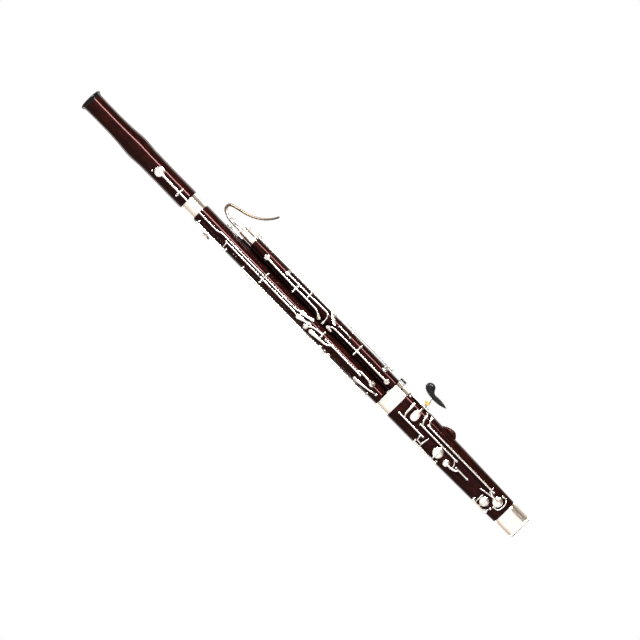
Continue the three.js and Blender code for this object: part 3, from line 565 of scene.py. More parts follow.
def bocal_bronze():
    """Metal that is silver-grey near the cork and brown towards the tip: a painted reflection, light near
    the cork and dark further along.
    """
    n = Nodes("bocal_bronze")
    n.set(Metallic=1)
    split = n.node("ShaderNodeSeparateXYZ")
    n.link(n.place, split.inputs["Vector"])
    # Painted reflection: the colour runs from silver-grey to brown along X, away from the cork.
    painted_reflection = n.node("ShaderNodeMath", operation="ADD")
    n.link(n.range(split.outputs["X"], 0, 0.85, 0.017, 0.034), painted_reflection.inputs[0])
    n.link(n.range(n.noise(240, 4), -0.12, 0.12), painted_reflection.inputs[1])
    n.colour(
        n.ramp(
            painted_reflection.outputs[0],
            (0.05, (0.36, 0.34, 0.31)),
            (0.32, (0.20, 0.155, 0.11)),
            (0.75, (0.125, 0.09, 0.06)),
        )
    )
    n.roughness(n.range(n.noise(420, 4), 0.16, 0.36))
    n.bump(n.noise(1800, 3), 0.00002, 0.2)
    return n.material


def ebonite(name="black_ebonite", low=0.16, high=0.3):
    """Hard black rubber with a soft polish and fine scuffs."""
    n = Nodes(name)
    n.set(Metallic=0, IOR=1.5, Specular_IOR_Level=0.2)
    n.colour(n.ramp(n.noise(220, 4), (0.3, (0.0015, 0.0014, 0.0014)), (0.75, (0.006, 0.005, 0.005))))
    n.roughness(n.range(n.noise(300, 5), low, high))
    n.bump(n.noise(1400, 4), 0.00003, 0.2)
    return n.material


def yellow_brass():
    """Bare brass with a little uneven ageing."""
    n = Nodes("yellow_brass")
    n.set(Metallic=1)
    n.colour(n.ramp(n.noise(320, 4), (0.3, (0.55, 0.36, 0.11)), (0.7, (0.83, 0.60, 0.24))))
    n.roughness(n.range(n.noise(900, 4), 0.13, 0.3))
    n.bump(n.noise(2200, 2), 0.00002, 0.2)
    return n.material


def cork_material():
    """Cork with its cells, matt and rough."""
    n = Nodes("tenon_cork")
    n.set(Metallic=0)
    cells = n.node("ShaderNodeTexVoronoi", feature="F1")
    cells.inputs["Scale"].default_value = 1100
    n.link(n.place, cells.inputs["Vector"])
    n.colour(n.ramp(cells.outputs["Distance"], (0.1, (0.22, 0.11, 0.05)), (0.6, (0.5, 0.31, 0.16))))
    n.roughness(n.range(n.noise(500), 0.7, 0.95))
    n.bump(cells.outputs["Distance"], 0.0002, 0.6)
    return n.material


def pad_leather():
    """Pale tanned leather with a fine grain."""
    n = Nodes("pad_leather")
    n.set(Metallic=0, Sheen_Weight=0.2)
    n.colour(n.ramp(n.noise(500, 5), (0.3, (0.44, 0.32, 0.20)), (0.7, (0.66, 0.52, 0.37))))
    n.roughness(n.range(n.noise(900, 4), 0.6, 0.85))
    n.bump(n.noise(3000, 5), 0.0001, 0.5)
    return n.material


def blued_steel():
    """Spring steel, blued by heat."""
    n = Nodes("blued_spring_steel")
    n.set(Metallic=1)
    n.colour(n.ramp(n.noise(600, 3), (0.3, (0.03, 0.04, 0.09)), (0.7, (0.10, 0.11, 0.16))))
    n.roughness(n.range(n.noise(900, 3), 0.2, 0.35))
    return n.material


def bore_finish():
    """The sealed, darkened wood inside bores and tone holes."""
    n = Nodes("bore_lining")
    n.set(Metallic=0)
    dark, pale = (0.008, 0.004, 0.004), (0.03, 0.014, 0.012)
    n.colour(n.ramp(n.noise(400, 4, (1, 1, 0.1)), (0.3, dark), (0.8, pale)))
    n.roughness(n.range(n.noise(300), 0.35, 0.6))
    return n.material


MAPLE = lacquered_maple()
SILVER = silver()
NICKEL = silver("nickel_silver_posts", (0.80, 0.785, 0.75), 0.12, 0.3)
BRONZE = bocal_bronze()
EBONITE = ebonite()
RIM_EBONITE = ebonite("rim_ebonite", 0.10, 0.22)
BRASS = yellow_brass()
CORK = cork_material()
LEATHER = pad_leather()
SPRING = blued_steel()
BORE = bore_finish()


# ---- Camera, light and room ----


CAMERA_AIM = Vector((3.9, 0, 637.5))
CAMERA_DISTANCE = 4.5
CAMERA_LENS = 114.8
PICTURE_LEAN = 44.24
FLOOR_REACH, FLOOR_DROP = 0.055, 0.0008

# The walls as polished metal sees them: bearing from the front in degrees, right positive, and colour.
WALLS = [
    (-180, (0.62, 0.60, 0.57)), (-135, (0.56, 0.49, 0.42)), (-95, (0.58, 0.50, 0.43)),
    (-70, (0.80, 0.73, 0.65)), (-45, (1, 0.98, 0.96)), (18, (1, 0.98, 0.97)), (30, (0.42, 0.36, 0.31)),
    (48, (0.17, 0.13, 0.10)), (72, (0.22, 0.17, 0.13)), (96, (0.46, 0.39, 0.33)), (135, (0.58, 0.53, 0.47)),
    (180, (0.62, 0.60, 0.57)),
]
WALL_LIGHT = 1.32
WALL_SLANT = 2.0
SLANT_HEIGHT = 0.15


def studio_walls():
    """White behind the instrument; in reflections, pale walls with a slanting dark side on the right."""
    world = bpy.data.worlds.new("studio")
    bpy.context.scene.world = world
    world.use_nodes = True
    tree = world.node_tree

    def node(kind, **settings):
        made = tree.nodes.new(kind)
        for key, value in settings.items():
            setattr(made, key, value)
        return made

    def maths(operation, first, second):
        made = node("ShaderNodeMath", operation=operation)
        for socket, value in zip(made.inputs, (first, second)):
            if isinstance(value, (int, float)):
                socket.default_value = value
            else:
                tree.links.new(value, socket)
        return made.outputs[0]

    split = node("ShaderNodeSeparateXYZ")
    tree.links.new(node("ShaderNodeTexCoord").outputs["Generated"], split.inputs["Vector"])
    across, deep, height = (split.outputs[axis] for axis in "XYZ")
    bearing = maths("ARCTAN2", across, maths("MULTIPLY", deep, -1))
    near_level = maths("MAXIMUM", maths("MINIMUM", height, SLANT_HEIGHT), -SLANT_HEIGHT)
    facing = maths("MAXIMUM", maths("MULTIPLY", deep, -1), 0)
    slant = maths("MULTIPLY", maths("MULTIPLY", near_level, facing), WALL_SLANT)
    slanted = maths("SUBTRACT", bearing, slant)
    place = maths("ADD", maths("DIVIDE", slanted, 2 * math.pi), 0.5)
    ramp = node("ShaderNodeValToRGB")
    elements = ramp.color_ramp.elements
    while len(elements) < len(WALLS):
        elements.new(0.5)
    for element, (angle, colour) in zip(elements, WALLS):
        element.position = angle / 360 + 0.5
        element.color = (*colour, 1)
    tree.links.new(place, ramp.inputs["Fac"])
    steep = node("ShaderNodeMapRange", interpolation_type="SMOOTHSTEP")
    for socket, value in (("From Min", 0.25), ("From Max", 0.95), ("To Min", 1), ("To Max", 0.3)):
        steep.inputs[socket].default_value = value
    tree.links.new(maths("ABSOLUTE", height, 0), steep.inputs["Value"])

    reflected = tree.nodes["Background"]
    tree.links.new(ramp.outputs["Color"], reflected.inputs["Color"])
    tree.links.new(maths("MULTIPLY", steep.outputs["Result"], WALL_LIGHT), reflected.inputs["Strength"])
    seen = node("ShaderNodeBackground")
    seen.inputs["Color"].default_value = (1, 1, 1, 1)
    pick = node("ShaderNodeMixShader")
    tree.links.new(node("ShaderNodeLightPath").outputs["Is Camera Ray"], pick.inputs["Fac"])
    tree.links.new(reflected.outputs[0], pick.inputs[1])
    tree.links.new(seen.outputs[0], pick.inputs[2])
    tree.links.new(pick.outputs[0], tree.nodes["World Output"].inputs["Surface"])


def add_camera():
    """The instrument is seen square on, with its bell towards the upper left of the picture."""
    lens = bpy.data.cameras.new("camera")
    lens.sensor_width = 36
    lens.lens = CAMERA_LENS
    lens.clip_end = 100
    camera = bpy.data.objects.new("camera", lens)
    bpy.context.scene.collection.objects.link(camera)
    camera.location = CAMERA_AIM * MM + Vector((0, -CAMERA_DISTANCE, 0))
    upright_view = Vector((0, 1, 0)).to_track_quat("-Z", "Y")
    lean = Quaternion((0, 1, 0), math.radians(PICTURE_LEAN))
    camera.rotation_mode = "QUATERNION"
    camera.rotation_quaternion = lean @ upright_view
    bpy.context.scene.camera = camera


def add_floor():
    """A small pale floor under the cap."""
    floor = bpy.data.meshes.new("floor")
    reach = FLOOR_REACH
    corners = [(-reach, -reach, 0), (reach, -reach, 0), (reach, reach, 0), (-reach, reach, 0)]
    floor.from_pydata(corners, [], [(0, 1, 2, 3)])
    ground = bpy.data.objects.new("floor", floor)
    bpy.context.scene.collection.objects.link(ground)
    ground.location.z = -FLOOR_DROP
    paint = bpy.data.materials.new("pale_floor")
    paint.use_nodes = True
    shader = paint.node_tree.nodes["Principled BSDF"]
    shader.inputs["Base Color"].default_value = (0.93, 0.93, 0.93, 1)
    shader.inputs["Roughness"].default_value = 0.9
    shader.inputs["Specular IOR Level"].default_value = 0.0
    floor.materials.append(paint)


def softbox(name, place, size, power):
    """A lit panel that faces the middle of the instrument."""
    light = bpy.data.lights.new(name, "AREA")
    light.shape = "RECTANGLE"
    light.size, light.size_y = size
    light.energy = power
    lamp = bpy.data.objects.new(name, light)
    bpy.context.scene.collection.objects.link(lamp)
    lamp.location = place
    lamp.rotation_mode = "QUATERNION"
    lamp.rotation_quaternion = (Vector((0, 0, 0.65)) - Vector(place)).to_track_quat("-Z", "Y")


def camera_and_room():
    """Camera, floor, reflected walls, one bright strip, two weak back lights and an overhead sun."""
    add_camera()
    add_floor()
    studio_walls()
    softbox("strip_right", (1.54, -1.84, 1.08), (0.36, 2.0), 230)
    softbox("back_left", (-1.7, 1.6, 0.9), (0.32, 2.2), 16)
    softbox("back_right", (1.7, 1.5, 0.9), (0.32, 2.2), 16)
    sun = bpy.data.lights.new("overhead", "SUN")
    sun.energy = 3.4
    sun.angle = math.radians(40)
    bpy.context.scene.collection.objects.link(bpy.data.objects.new("overhead", sun))
    bpy.context.scene.view_settings.view_transform = "Standard"


# ---- Wooden bodies ----


def stadium(half, depth, x, z, sides=112, flat=None):
    """A ring with two flat sides and two round ends; a shorter flat makes the ends oval."""
    flat = half - depth if flat is None else flat
    ring = []
    quarter = sides // 2
    for end in (1, -1):
        for step in range(quarter):
            angle = -math.pi / 2 + math.pi * (step + 0.5) / quarter
            reach = flat + (half - flat) * math.cos(angle)
            ring.append(Vector((x + end * reach, end * depth * math.sin(angle), z)))
    return ring


def boot_ring(z, inset=0.0):
    """The wooden boot's section at a height."""
    scale = boot_scale(z)
    half, depth = BOOT_HALF * scale - inset, BOOT_DEPTH * scale - inset
    return stadium(half, depth, BOOT_X * scale, z)


def edge_steps(low, high, soft, count):
    """Heights between two ends, with the (height, inset) pairs of a rounded edge at each end."""
    start, end = [], []
    for step in range(5):
        turn = math.pi / 2 * step / 4
        inset, rise = soft * (1 - math.sin(turn)), soft * (1 - math.cos(turn))
        start.append((low + rise, inset))
        end.append((high - rise, inset))
    middle = [(low + soft + (high - low - 2 * soft) * i / count, 0) for i in range(1, count)]
    return start + middle + end[::-1]


def bore_tool(x, low, high, radius):
    """The closed shape that drills an upright bore."""
    return hole_tool(Vector((x, 0, low)), Vector((x, 0, high)), radius, 48)


def hole_tool(start, end, radius, sides=32):
    return rod(Shape(), start, end, radius, sides, 0.01)


def boot_wood():
    """Oval boot joint with its two sockets, finger holes and the sunk top that the band covers."""
    shape = Shape()
    rings = [stadium(27.4, 13.8, 0, z) for z in (37, BOOT_BOTTOM)]
    top = BAND_LOW - JOINT_GAP
    rings += [boot_ring(z, inset) for z, inset in edge_steps(BOOT_BOTTOM, top, 1.6, 40)]
    rings += [
        stadium(BOOT_HALF - 1.5, BOOT_DEPTH - 1.5, BOOT_X, z) for z in (top, BOOT_TOP - 1.2)
    ]
    rings.append(stadium(BOOT_HALF - 2.6, BOOT_DEPTH - 2.6, BOOT_X, BOOT_TOP - 0.1))
    made = shape.rings(rings).object("boot_wood", MAPLE)
    cutters = [
        bore_tool(LONG_X, 0, 430, LONG_BORE),
        bore_tool(WING_X, 0, 430, 5.2),
        bore_tool(LONG_X, 382, 430, 13.2),
        bore_tool(WING_X, 382, 430, 11.2),
    ]
    for z in BOOT_HOLES:
        cutters.append(hole_tool(Vector((LONG_X + 6, 0, z)), Vector((-6, 40, z + 4)), 3.4))
    return finish_piece(drilled(made, cutters), "boot", "maple", "boot_joint")


def boot_swelling():
    """The long wooden swelling low on the boot's right side, lofted and rounded."""
    low, length, peak = 240, 42, 0.34
    rings = []
    levels = 22
    for step in range(levels + 1):
        share = step / levels
        z = low + length * share
        if share < peak:
            rise = math.sin(math.pi / 2 * share / peak)
        else:
            rise = math.cos(math.pi / 2 * (share - peak) / (1 - peak))
        reach = 3 + 11.6 * max(rise, 0) ** 0.8
        width = 3 + 3.4 * max(rise, 0) ** 0.6
        base = BOOT.x(z) + BOOT.flat(z) + BOOT.radius(z) - 3.5
        ring = []
        for k in range(36):
            turn = 2 * math.pi * k / 36
            swell = math.copysign(abs(math.cos(turn)) ** 0.75, math.cos(turn))
            x = base + reach * swell * 0.5 + reach * 0.5
            ring.append(Vector((x, -1.5 + width * math.sin(turn), z)))
        rings.append(ring)
    made = Shape().rings(rings).object("boot_swelling", MAPLE, 60)
    return finish_piece(made, "boot", "maple")


def oval_bead(shape, half, depth, x, z, out, rise, flat=None):
    """Adds a half-sunk rounded bead round an oval: out is its reach, rise its half height."""
    loop = []
    for step in range(12):
        turn = 2 * math.pi * step / 12
        grow = out * math.cos(turn)
        loop.append(stadium(half + grow, depth + grow, x, z + rise * math.sin(turn), flat=flat))
    return shape.rings(loop, closed=True)


def oval_shell(name, low, high, half, depth, x, wall, material, floor=None, bead=0.0, flat=None):
    """A metal sleeve of oval section with rolled edges, closed below if it has a floor."""
    outer = []
    for z, inset in edge_steps(low, high, 0.7, 6):
        outer.append(stadium(half - inset, depth - inset, x, z, flat=flat))
    shape = Shape()
    inner_low = floor if floor is not None else low
    inner = [stadium(half - wall, depth - wall, x, z, flat=flat) for z in (high - 0.1, inner_low)]
    rings = outer + inner
    made = shape.rings(rings, closed=floor is None).object(name, material)
    if bead:
        for z in (low + bead, high - bead):
            trim = oval_bead(Shape(), half - 0.1, depth - 0.1, x, z, 0.35, 0.9)
            join_into(made, trim.object("trim", material))
    return made


def join_into(target, *others):
    """Adds other objects' meshes to the target's and removes them."""
    gathered = bmesh.new()
    gathered.from_mesh(target.data)
    for other in others:
        gathered.from_mesh(other.data)
        bpy.data.objects.remove(other)
    gathered.to_mesh(target.data)
    gathered.free()
    return target


def boot_metal():
    """The band at the boot's top, the cap at its foot and a dark line round the cap's foot that is painted
    shade.
    """
    band = oval_shell(
        "boot_band_plated", BAND_LOW, BOOT_TOP, BOOT_HALF - 0.1, BOOT_DEPTH - 0.1,
        BOOT_X, 1.3, SILVER, bead=2.4,
    )
    finish_piece(band, "boot", "silver_plate", "boot_band")
    half, depth = CAP_HIGH.x, CAP_HIGH.y
    cap = oval_shell(
        "boot_cap_plated", 0, CAP_HIGH.z, half - 0.05, depth - 0.05, 0, 1.0, SILVER, floor=2,
        flat=CAP_FLAT,
    )
    finish_piece(cap, "boot_cap", "silver_plate", "boot_cap")
    # Painted shade: a thin dark ebonite band round the foot of the cap, where it meets the floor.
    line = oval_bead(Shape(), half, depth, 0, CAP_SHADE_LINE_Z, 0.12, 0.9, CAP_FLAT)
    finish_piece(line.object("boot_cap_shade_line", EBONITE), "boot_cap", "black_rest")


def wing_ring(z, inset=0.0, sides=112):
    """The wing joint's section: a circle that swells into the finger-hole wing behind."""
    radius = smooth_along(WING_OUTLINE, z) - inset
    start, end, blend, reach = 444, 726, 26, 27
    rise = min(max((z - start) / blend, 0), 1) * min(max((end - z) / blend, 0), 1)
    rise = rise * rise * (3 - 2 * rise)
    tall = 8 + (reach - 8) * rise - inset
    half = 8.5 - inset
    ring = []
    for k in range(sides):
        turn = 2 * math.pi * k / sides
        cosine, sine = math.cos(turn), math.sin(turn)
        out = radius
        if sine > 0 and rise > 0:
            slab = ((abs(cosine) / half) ** 5 + (sine / tall) ** 5) ** (-1 / 5)
            out = (radius**10 + slab**10) ** 0.1 if slab > 0 else radius
        ring.append(Vector((WING_X + out * cosine, out * sine, z)))
    return ring


def wing_wood():
    """The wing joint with its tenon, bore and three slanted finger holes."""
    high = WING_TOP - JOINT_GAP
    turns = [2 * math.pi * k / 112 for k in range(112)]
    rings = []
    for z in (JOINT_FOOT - TENON, JOINT_FOOT):
        rings.append([Vector((WING_X + 10.3 * math.cos(t), 10.3 * math.sin(t), z)) for t in turns])
    rings += [wing_ring(z, inset) for z, inset in edge_steps(JOINT_FOOT, high, 0.6, 110)]
    made = Shape().rings(rings).object("wing_wood", MAPLE)
    cutters = [bore_tool(WING_X, 380, 880, WING_BORE)]
    for z in WING_HOLES:
        cutters.append(hole_tool(Vector((WING_X, 0, z - 12)), Vector((WING_X, 40, z + 8)), 2.9))
    return finish_piece(drilled(made, cutters), "wing_joint", "maple", "wing_joint")


def wing_cheek():
    """The slim cheek behind that hides the gap between the wing and the long joint."""
    corners = [(1, 10.4), (2.6, 7.4), (14, 4), (16, 10), (9, 12.9), (1, 12.8)]
    outline = [Vector((x, y, 0)) for x, y in corners]
    ring = []
    for before, corner, after in zip([outline[-1]] + outline, outline, outline[1:] + outline[:1]):
        start, end = corner.lerp(before, 0.2), corner.lerp(after, 0.2)
        ring += [start.lerp(corner, t).lerp(corner.lerp(end, t), t) for t in (0, 0.33, 0.67, 1)]
    centre = sum(ring, Vector()) / len(ring)
    rings = []
    for z, inset in edge_steps(CHEEK_LOW, CHEEK_HIGH, 1.2, 60):
        lean = -CHEEK_LEAN * (CHEEK_HIGH - z) / (CHEEK_HIGH - CHEEK_LOW)
        level = []
        for point in ring:
            # Only the edge beside the long joint leans; the edge in the wing stays upright.
            held = min(max((8.2 - point.x) / 1.2, 0), 1)
            level.append(point.lerp(centre, inset / 8) + Vector((lean * held, 0, z)))
        rings.append(level)
    made = Shape().rings(rings).object("wing_cheek_wood", MAPLE)
    neck = Shape()
    box(neck, Vector((1.4, 8.5, CHEEK_HIGH - 6)), Vector((8, 12.9, CHEEK_TOP)))
    join_into(made, bevelled(neck.object("cheek_neck", MAPLE), 1.0))
    finish_piece(made, "wing_joint", "maple")


def wing_finger_rings():
    """Ebonite-like bushes set round the three finger holes of the wing."""
    profile = [(2.95, -3), (4.3, -3), (4.3, 0.05), (3.9, 0.35), (3.2, 0.35), (2.95, 0.1)]
    for number, z in enumerate(WING_HOLES, 1):
        mouth = Vector((WING_X, 26.9, z - 12 + 20 * 26.9 / 40))
        bush = lathe(Shape(), profile, mouth, Vector((0, 1, 0)), 40, closed=True)
        finish_piece(bush.object(f"wing_hole_bush_{number}", EBONITE), "wing_joint", "black_rim")


def boot_hole_bushes():
    """Metal bushes round the two finger holes at the back of the boot."""
    profile = [(3.5, -2), (5.0, -2), (5.0, 0.05), (4.5, 0.4), (3.8, 0.4), (3.5, 0.15)]
    for number, z in enumerate(BOOT_HOLES, 1):
        y = BOOT.radius(z)
        x = (LONG_X + 6) + (-6 - (LONG_X + 6)) * y / 40
        mouth = Vector((x, y, z + 4 * y / 40))
        bush = lathe(Shape(), profile, mouth, Vector((0, 1, 0)), 40, closed=True)
        finish_piece(bush.object(f"boot_hole_bush_{number}", NICKEL), "boot", "steel_posts")


def long_wood():
    """The long joint, turned in one with its two tenons and open through its bore."""
    low, high = JOINT_FOOT, LONG_TOP - JOINT_GAP
    skin = [(smooth_along(LONG_OUTLINE, z) - inset, z) for z, inset in edge_steps(low, high, 0.8, 90)]
    foot = low - TENON
    profile = [(6.6, foot), (12.2, foot), (12.8, foot + 1), (12.8, low)] + skin
    head = high + TENON
    profile += [(13.2, high), (13.2, head - 1), (12.6, head), (9, head)]
    made = upright(Shape(), profile, LONG_X, closed=True).object("long_wood", MAPLE)
    return finish_piece(made, "long_joint", "maple", "long_joint")


def bell_wood():
    """The bell with its bulge, and the bore that narrows to the long joint."""
    low, high = BELL_BAND_TOP, RIM_LOW.z - JOINT_GAP
    skin = []
    for z, inset in edge_steps(low, high, 0.5, 120):
        foot = 1.6 * (1 - math.sin(math.pi / 2 * min((z - low) / 4, 1)))
        skin.append((smooth_along(BELL_OUTLINE[1:], z) - inset - foot, z))
    profile = [(13.8, 991), (18.6, 991), (18.6, low)] + skin
    bore = [(BELL_MOUTH, high), (14.6, 1260), (12, 1130), (10, low + 1), (13.8, low)]
    made = upright(Shape(), profile + bore, LONG_X, closed=True).object("bell_wood", MAPLE)
    return finish_piece(made, "bell", "maple", "bell_joint")


def bell_trim():
    """The bell's silver socket band and its polished dark rim."""
    low, high = LONG_TOP + JOINT_GAP, BELL_BAND_TOP - JOINT_GAP
    profile = [(18.9, low), (20.9, low), (21.3, low + 0.3), (21.35, low + 1.4), (21.0, low + 1.9)]
    profile += [(21.0, high - 1.9), (21.35, high - 1.4), (21.3, high - 0.3), (20.9, high), (18.9, high)]
    band = upright(Shape(), rounded(profile, 0.3), LONG_X, 112, closed=True)
    finish_piece(band.object("bell_band_plated", SILVER), "bell", "silver_plate", "bell_band")

    low, high = RIM_LOW.z, RIM_HIGH.z
    lip = [(BELL_MOUTH, low), (23.3, low), (23.6, low + 1), (24.4, low + 3.4), (26.2, low + 5.6)]
    lip += [(RIM_RADIUS - 0.1, low + 7), (RIM_RADIUS, low + 8), (RIM_RADIUS - 0.4, low + 9.4)]
    lip += [(RIM_RADIUS - 1.6, high), (BELL_MOUTH + 1.8, high), (BELL_MOUTH + 0.5, high - 0.5)]
    lip += [(BELL_MOUTH, high - 1.8)]
    rim = upright(Shape(), rounded(lip, 0.8), LONG_X, 112, closed=True)
    finish_piece(rim.object("bell_rim_polished", RIM_EBONITE), "bell", "black_rim", "bell_rim")


def wing_trim():
    """The wing joint's silver top band, with the bocal's receiver drilled into it."""
    low, high = WING_BAND_LOW.z, WING_BAND_HIGH.z
    profile = [(6, low), (11.8, low), (12.15, low + 0.4), (12.15, low + 2.2), (11.7, low + 2.8)]
    profile += [(11.7, high - 3), (12.15, high - 2.4), (12.15, high - 0.6), (11.6, high), (6, high)]
    ring = upright(Shape(), rounded(profile, 0.3)[::-1], WING_X)
    made = ring.object("wing_band_plated", SILVER)
    made = drilled(made, [bore_tool(BOCAL_X, low + 12, high + 6, 6.0)])
    finish_piece(made, "wing_joint", "silver_plate", "wing_top_band")


# ---- Bocal, lock pin and hand rest ----

BOCAL_ROUTE = [
    (BOCAL_X, 878), (BOCAL_X, 898), (15.6, 920), (16.6, 935), (20, 948), (26, 957.5), (33, 960.5),
    (39.5, 957), (44, 946), (47.5, 931), (52, 915), (58.5, 900), (68, 885.5), (79, 874),
    (90, 866.5), (98, 862.5),
]


def bocal():
    """The curved, tapering crook with its ferrule, whisper-key nipple and open tip."""
    path = fine_path([(x, 0, z) for x, z in BOCAL_ROUTE], 8)
    shape = Shape()
    sweep(shape, path, lambda share: 4.35 + (2.2 - 4.35) * share**0.85, 40, round_ends=False)
    made = shape.object("bocal_tube", BRONZE)
    end, before = path[-1], path[-3]
    inward = (before - end).normalized()
    tip_bore = hole_tool(end - inward * 2, end + inward * 26, 1.45, 24)
    foot_bore = hole_tool(path[0] - Z_AXIS * 2, path[0] + Z_AXIS * 30, 3.5, 24)
    drilled(made, [tip_bore, foot_bore])
    ferrule = Shape()
    profile = [(4.2, 898.6), (6.0, 898.6), (6.35, 899.0), (6.35, 900.2), (5.7, 900.8), (5.7, 901.8)]
    profile += [(6.2, 902.2), (6.2, 902.8), (5.6, 903), (4.2, 903)]
    upright(ferrule, profile, BOCAL_X, 48, closed=True)
    nipple_start, nipple_end = Vector((17.4, -2.6, 937)), Vector((18.4, -7.4, 937))
    profile = [(0, 0), (2.9, 0), (2.9, 0.9), (1.9, 1.6), (1.5, 4.2), (1.8, 4.6), (1.8, 4.85)]
    profile += [(0.9, 4.9), (0, 4.9)]
    lathe(ferrule, profile, nipple_start, nipple_end - nipple_start, 28)
    metal = ferrule.object("bocal_ferrule", SILVER)
    finish_piece(metal, "bocal", "silver_plate")
    finish_piece(made, "bocal", "bronze_bocal", "bocal")

    low, high = mm_box("bocal_cork")
    profile = [(4.75, low.z), (5.3, low.z), (5.6, low.z + 1)]
    profile += [(5.6, high.z - 1.4), (5.2, high.z), (4.75, high.z)]
    sleeve = upright(Shape(), profile, BOCAL_X, 48, closed=True).object("bocal_cork_sleeve", CORK)
    finish_piece(sleeve, "bocal_cork", "cork", "bocal_cork")


def lock_pin():
    """The turned pin that locks the wing to the long joint, and the two lugs that guide it."""
    x = (PIN_LOW.x + PIN_HIGH.x) / 2
    profile = [
        (0, 884), (1.6, 884), (2, 884.6), (2, 898.8), (2.7, 899.6), (2.7, 903.8), (1.9, 904.8),
        (1.8, 906), (1.8, 917.6), (2.2, 919.2), (2.8, 920.6), (2.8, 922), (2.5, 922.5),
        (2.8, 923), (2.8, 929.6), (2.3, 931.2), (1.3, 932), (0, 932),
    ]
    pin = upright(Shape(), rounded(profile, 0.3), x, 40, y=-1).object("joint_lock_turned", SILVER)
    finish_piece(pin, "joint_lock_pin", "silver_plate", "joint_lock_pin")
    lug = Shape()
    for z in (888.5, 894.5):
        profile = [(2.5, -1.4), (3.1, -1.4), (3.3, -1), (3.3, 1), (3.1, 1.4), (2.5, 1.4)]
        lathe(lug, profile, Vector((x, -1, z)), Z_AXIS, 32, closed=True)
        start, end = Vector((x + 3.2, -1, z)), Vector((x + 4.6, -1, z))
        pill(lug, start, end, 1.4, 1.4, Vector((0, -1, 0)), 2.4)
    finish_piece(lug.object("joint_lock_lugs", NICKEL), "wing_joint", "silver_plate")


REST_Y, REST_Z = -5, 342
REST_SCREW_X = 46


def rest_point(x, y=0.0, z=0.0):
    """A point counted from the hand rest's own axis."""
    return Vector((x, REST_Y + y, REST_Z + z))


def hand_rest():
    """Seat on the boot, post, knurled brass screw and the comma-shaped rest."""
    finish_piece(rest_seat(), "boot", "silver_plate", "hand_rest_seat")
    post = rod(Shape(), rest_point(40), rest_point(67.8), 2.88, 40, 0.5).object("hand_rest_rod", SILVER)
    finish_piece(post, "hand_rest_post", "silver_plate", "hand_rest_post")
    finish_piece(rest_screw(), "hand_rest_screw", "brass_screw", "hand_rest_screw")
    finish_piece(rest_head(), "hand_rest", "black_rest", "hand_rest")


def rest_seat():
    """The plate with its two screws, and the collar that holds the post."""
    seat = Shape()
    box(seat, (35.75, REST_Y - 7.4, REST_Z - 12.9), (38.6, REST_Y + 7.4, REST_Z + 12.9))
    plate = bevelled(seat.object("hand_rest_plate", SILVER), 0.9)
    collar = Shape()
    profile = [(3.2, 0), (5.4, 0), (5.4, 3.8), (4.9, 4.6), (4.9, 14), (5.4, 14.8), (5.4, 16.9)]
    profile += [(5.0, 17.3), (3.2, 17.3)]
    lathe(collar, rounded(profile, 0.4), rest_point(36.2), Vector((1, 0, 0)), 48, closed=True)
    tapped = hole_tool(rest_point(REST_SCREW_X, -12), rest_point(REST_SCREW_X), 2.0, 24)
    made = drilled(collar.object("hand_rest_collar", SILVER), [tapped])
    screws = Shape()
    for z in (-9.6, 9.6):
        ball(screws, rest_point(38.5, 0, z), 2.0, 20, 0.5, Vector((1, 0, 0)))
    return join_into(made, plate, screws.object("seat_screws", NICKEL))


def rest_screw():
    """The brass thumbscrew, from (radius, height, depth of knurling) points."""
    axis = Vector((0, -1, 0))
    tip = rest_point(REST_SCREW_X, -3.3)
    sides, ridges = 96, 24
    first, second = frame_for(axis)
    profile = [(0, 0, 0), (1.5, 0, 0), (1.6, 0.2, 0), (1.6, 6.5, 0), (5.2, 6.5, 0), (5.9, 6.9, 0.6)]
    profile += [(6.1, 7.3, 1), (6.1, 9.1, 1), (5.9, 9.5, 0.6), (5.0, 9.85, 0), (3.4, 9.95, 0)]
    profile += [(3.1, 9.7, 0), (0, 9.7, 0)]
    rings = []
    for radius, height, knurl in profile:
        if radius == 0:
            rings.append([tip + axis * height])
            continue
        ring = []
        for k in range(sides):
            turn = 2 * math.pi * k / sides
            reach = radius + knurl * 0.26 * math.cos(ridges * turn)
            out = first * math.cos(turn) + second * math.sin(turn)
            ring.append(tip + axis * height + out * reach)
        rings.append(ring)
    return Shape().rings(rings).object("hand_rest_knob", BRASS)


def bezier(a, b, c, d, steps=12):
    """Points of a cubic curve, its end left out."""
    made = []
    for step in range(steps):
        t = step / steps
        made.append(a * (1 - t) ** 3 + b * 3 * t * (1 - t) ** 2 + c * 3 * t**2 * (1 - t) + d * t**3)
    return made


def rest_head():
    """The comma outline, thick in the middle and rounded all the way to its edge."""
    corners = [
        [(67, 303), (61.5, 311), (58, 328), (59, 342)],
        [(59, 342), (59.8, 353), (62, 372.5), (74, 372.5)],
        [(74, 372.5), (84, 372.5), (88, 362), (84, 355)],
        [(84, 355), (80.5, 349), (72, 350), (70.4, 341)],
        [(70.4, 341), (71, 333), (73.5, 320), (67, 303)],
    ]
    outline = []
    for four in corners:
        outline += bezier(*[Vector(p) for p in four])
    spine = [(67, 305), (66.4, 318), (65.4, 331), (66.2, 344), (69.5, 356), (74, 361.5)]
    spine = [Vector((p.x, p.y)) for p in fine_path([(x, z, 0) for x, z in spine], 10)]
    half = 9.8
    rings = []
    turns = [math.radians(a) for a in (-90, -78, -64, -48, -32, -16, 0, 16, 32, 48, 64, 78, 90)]
    for turn in turns:
        share = math.cos(turn) ** 0.55 if abs(turn) < 1.57 else 0.02
        height = half * math.sin(turn)
        ring = []
        for point in outline:
            core = min(spine, key=lambda p: (p - point).length)
            flat = core.lerp(point, max(share, 0.02))
            ring.append(Vector((flat.x, REST_Y - height * 0.98, flat.y)))
        rings.append(ring)
    made = Shape().rings(rings).object("hand_rest_head", EBONITE, 80)
    hole = hole_tool(rest_point(50), rest_point(68.4), 3.15)
    smooth = made.modifiers.new("round", "SUBSURF")
    smooth.levels = 1
    applied(made, 80)
    return drilled(made, [hole])


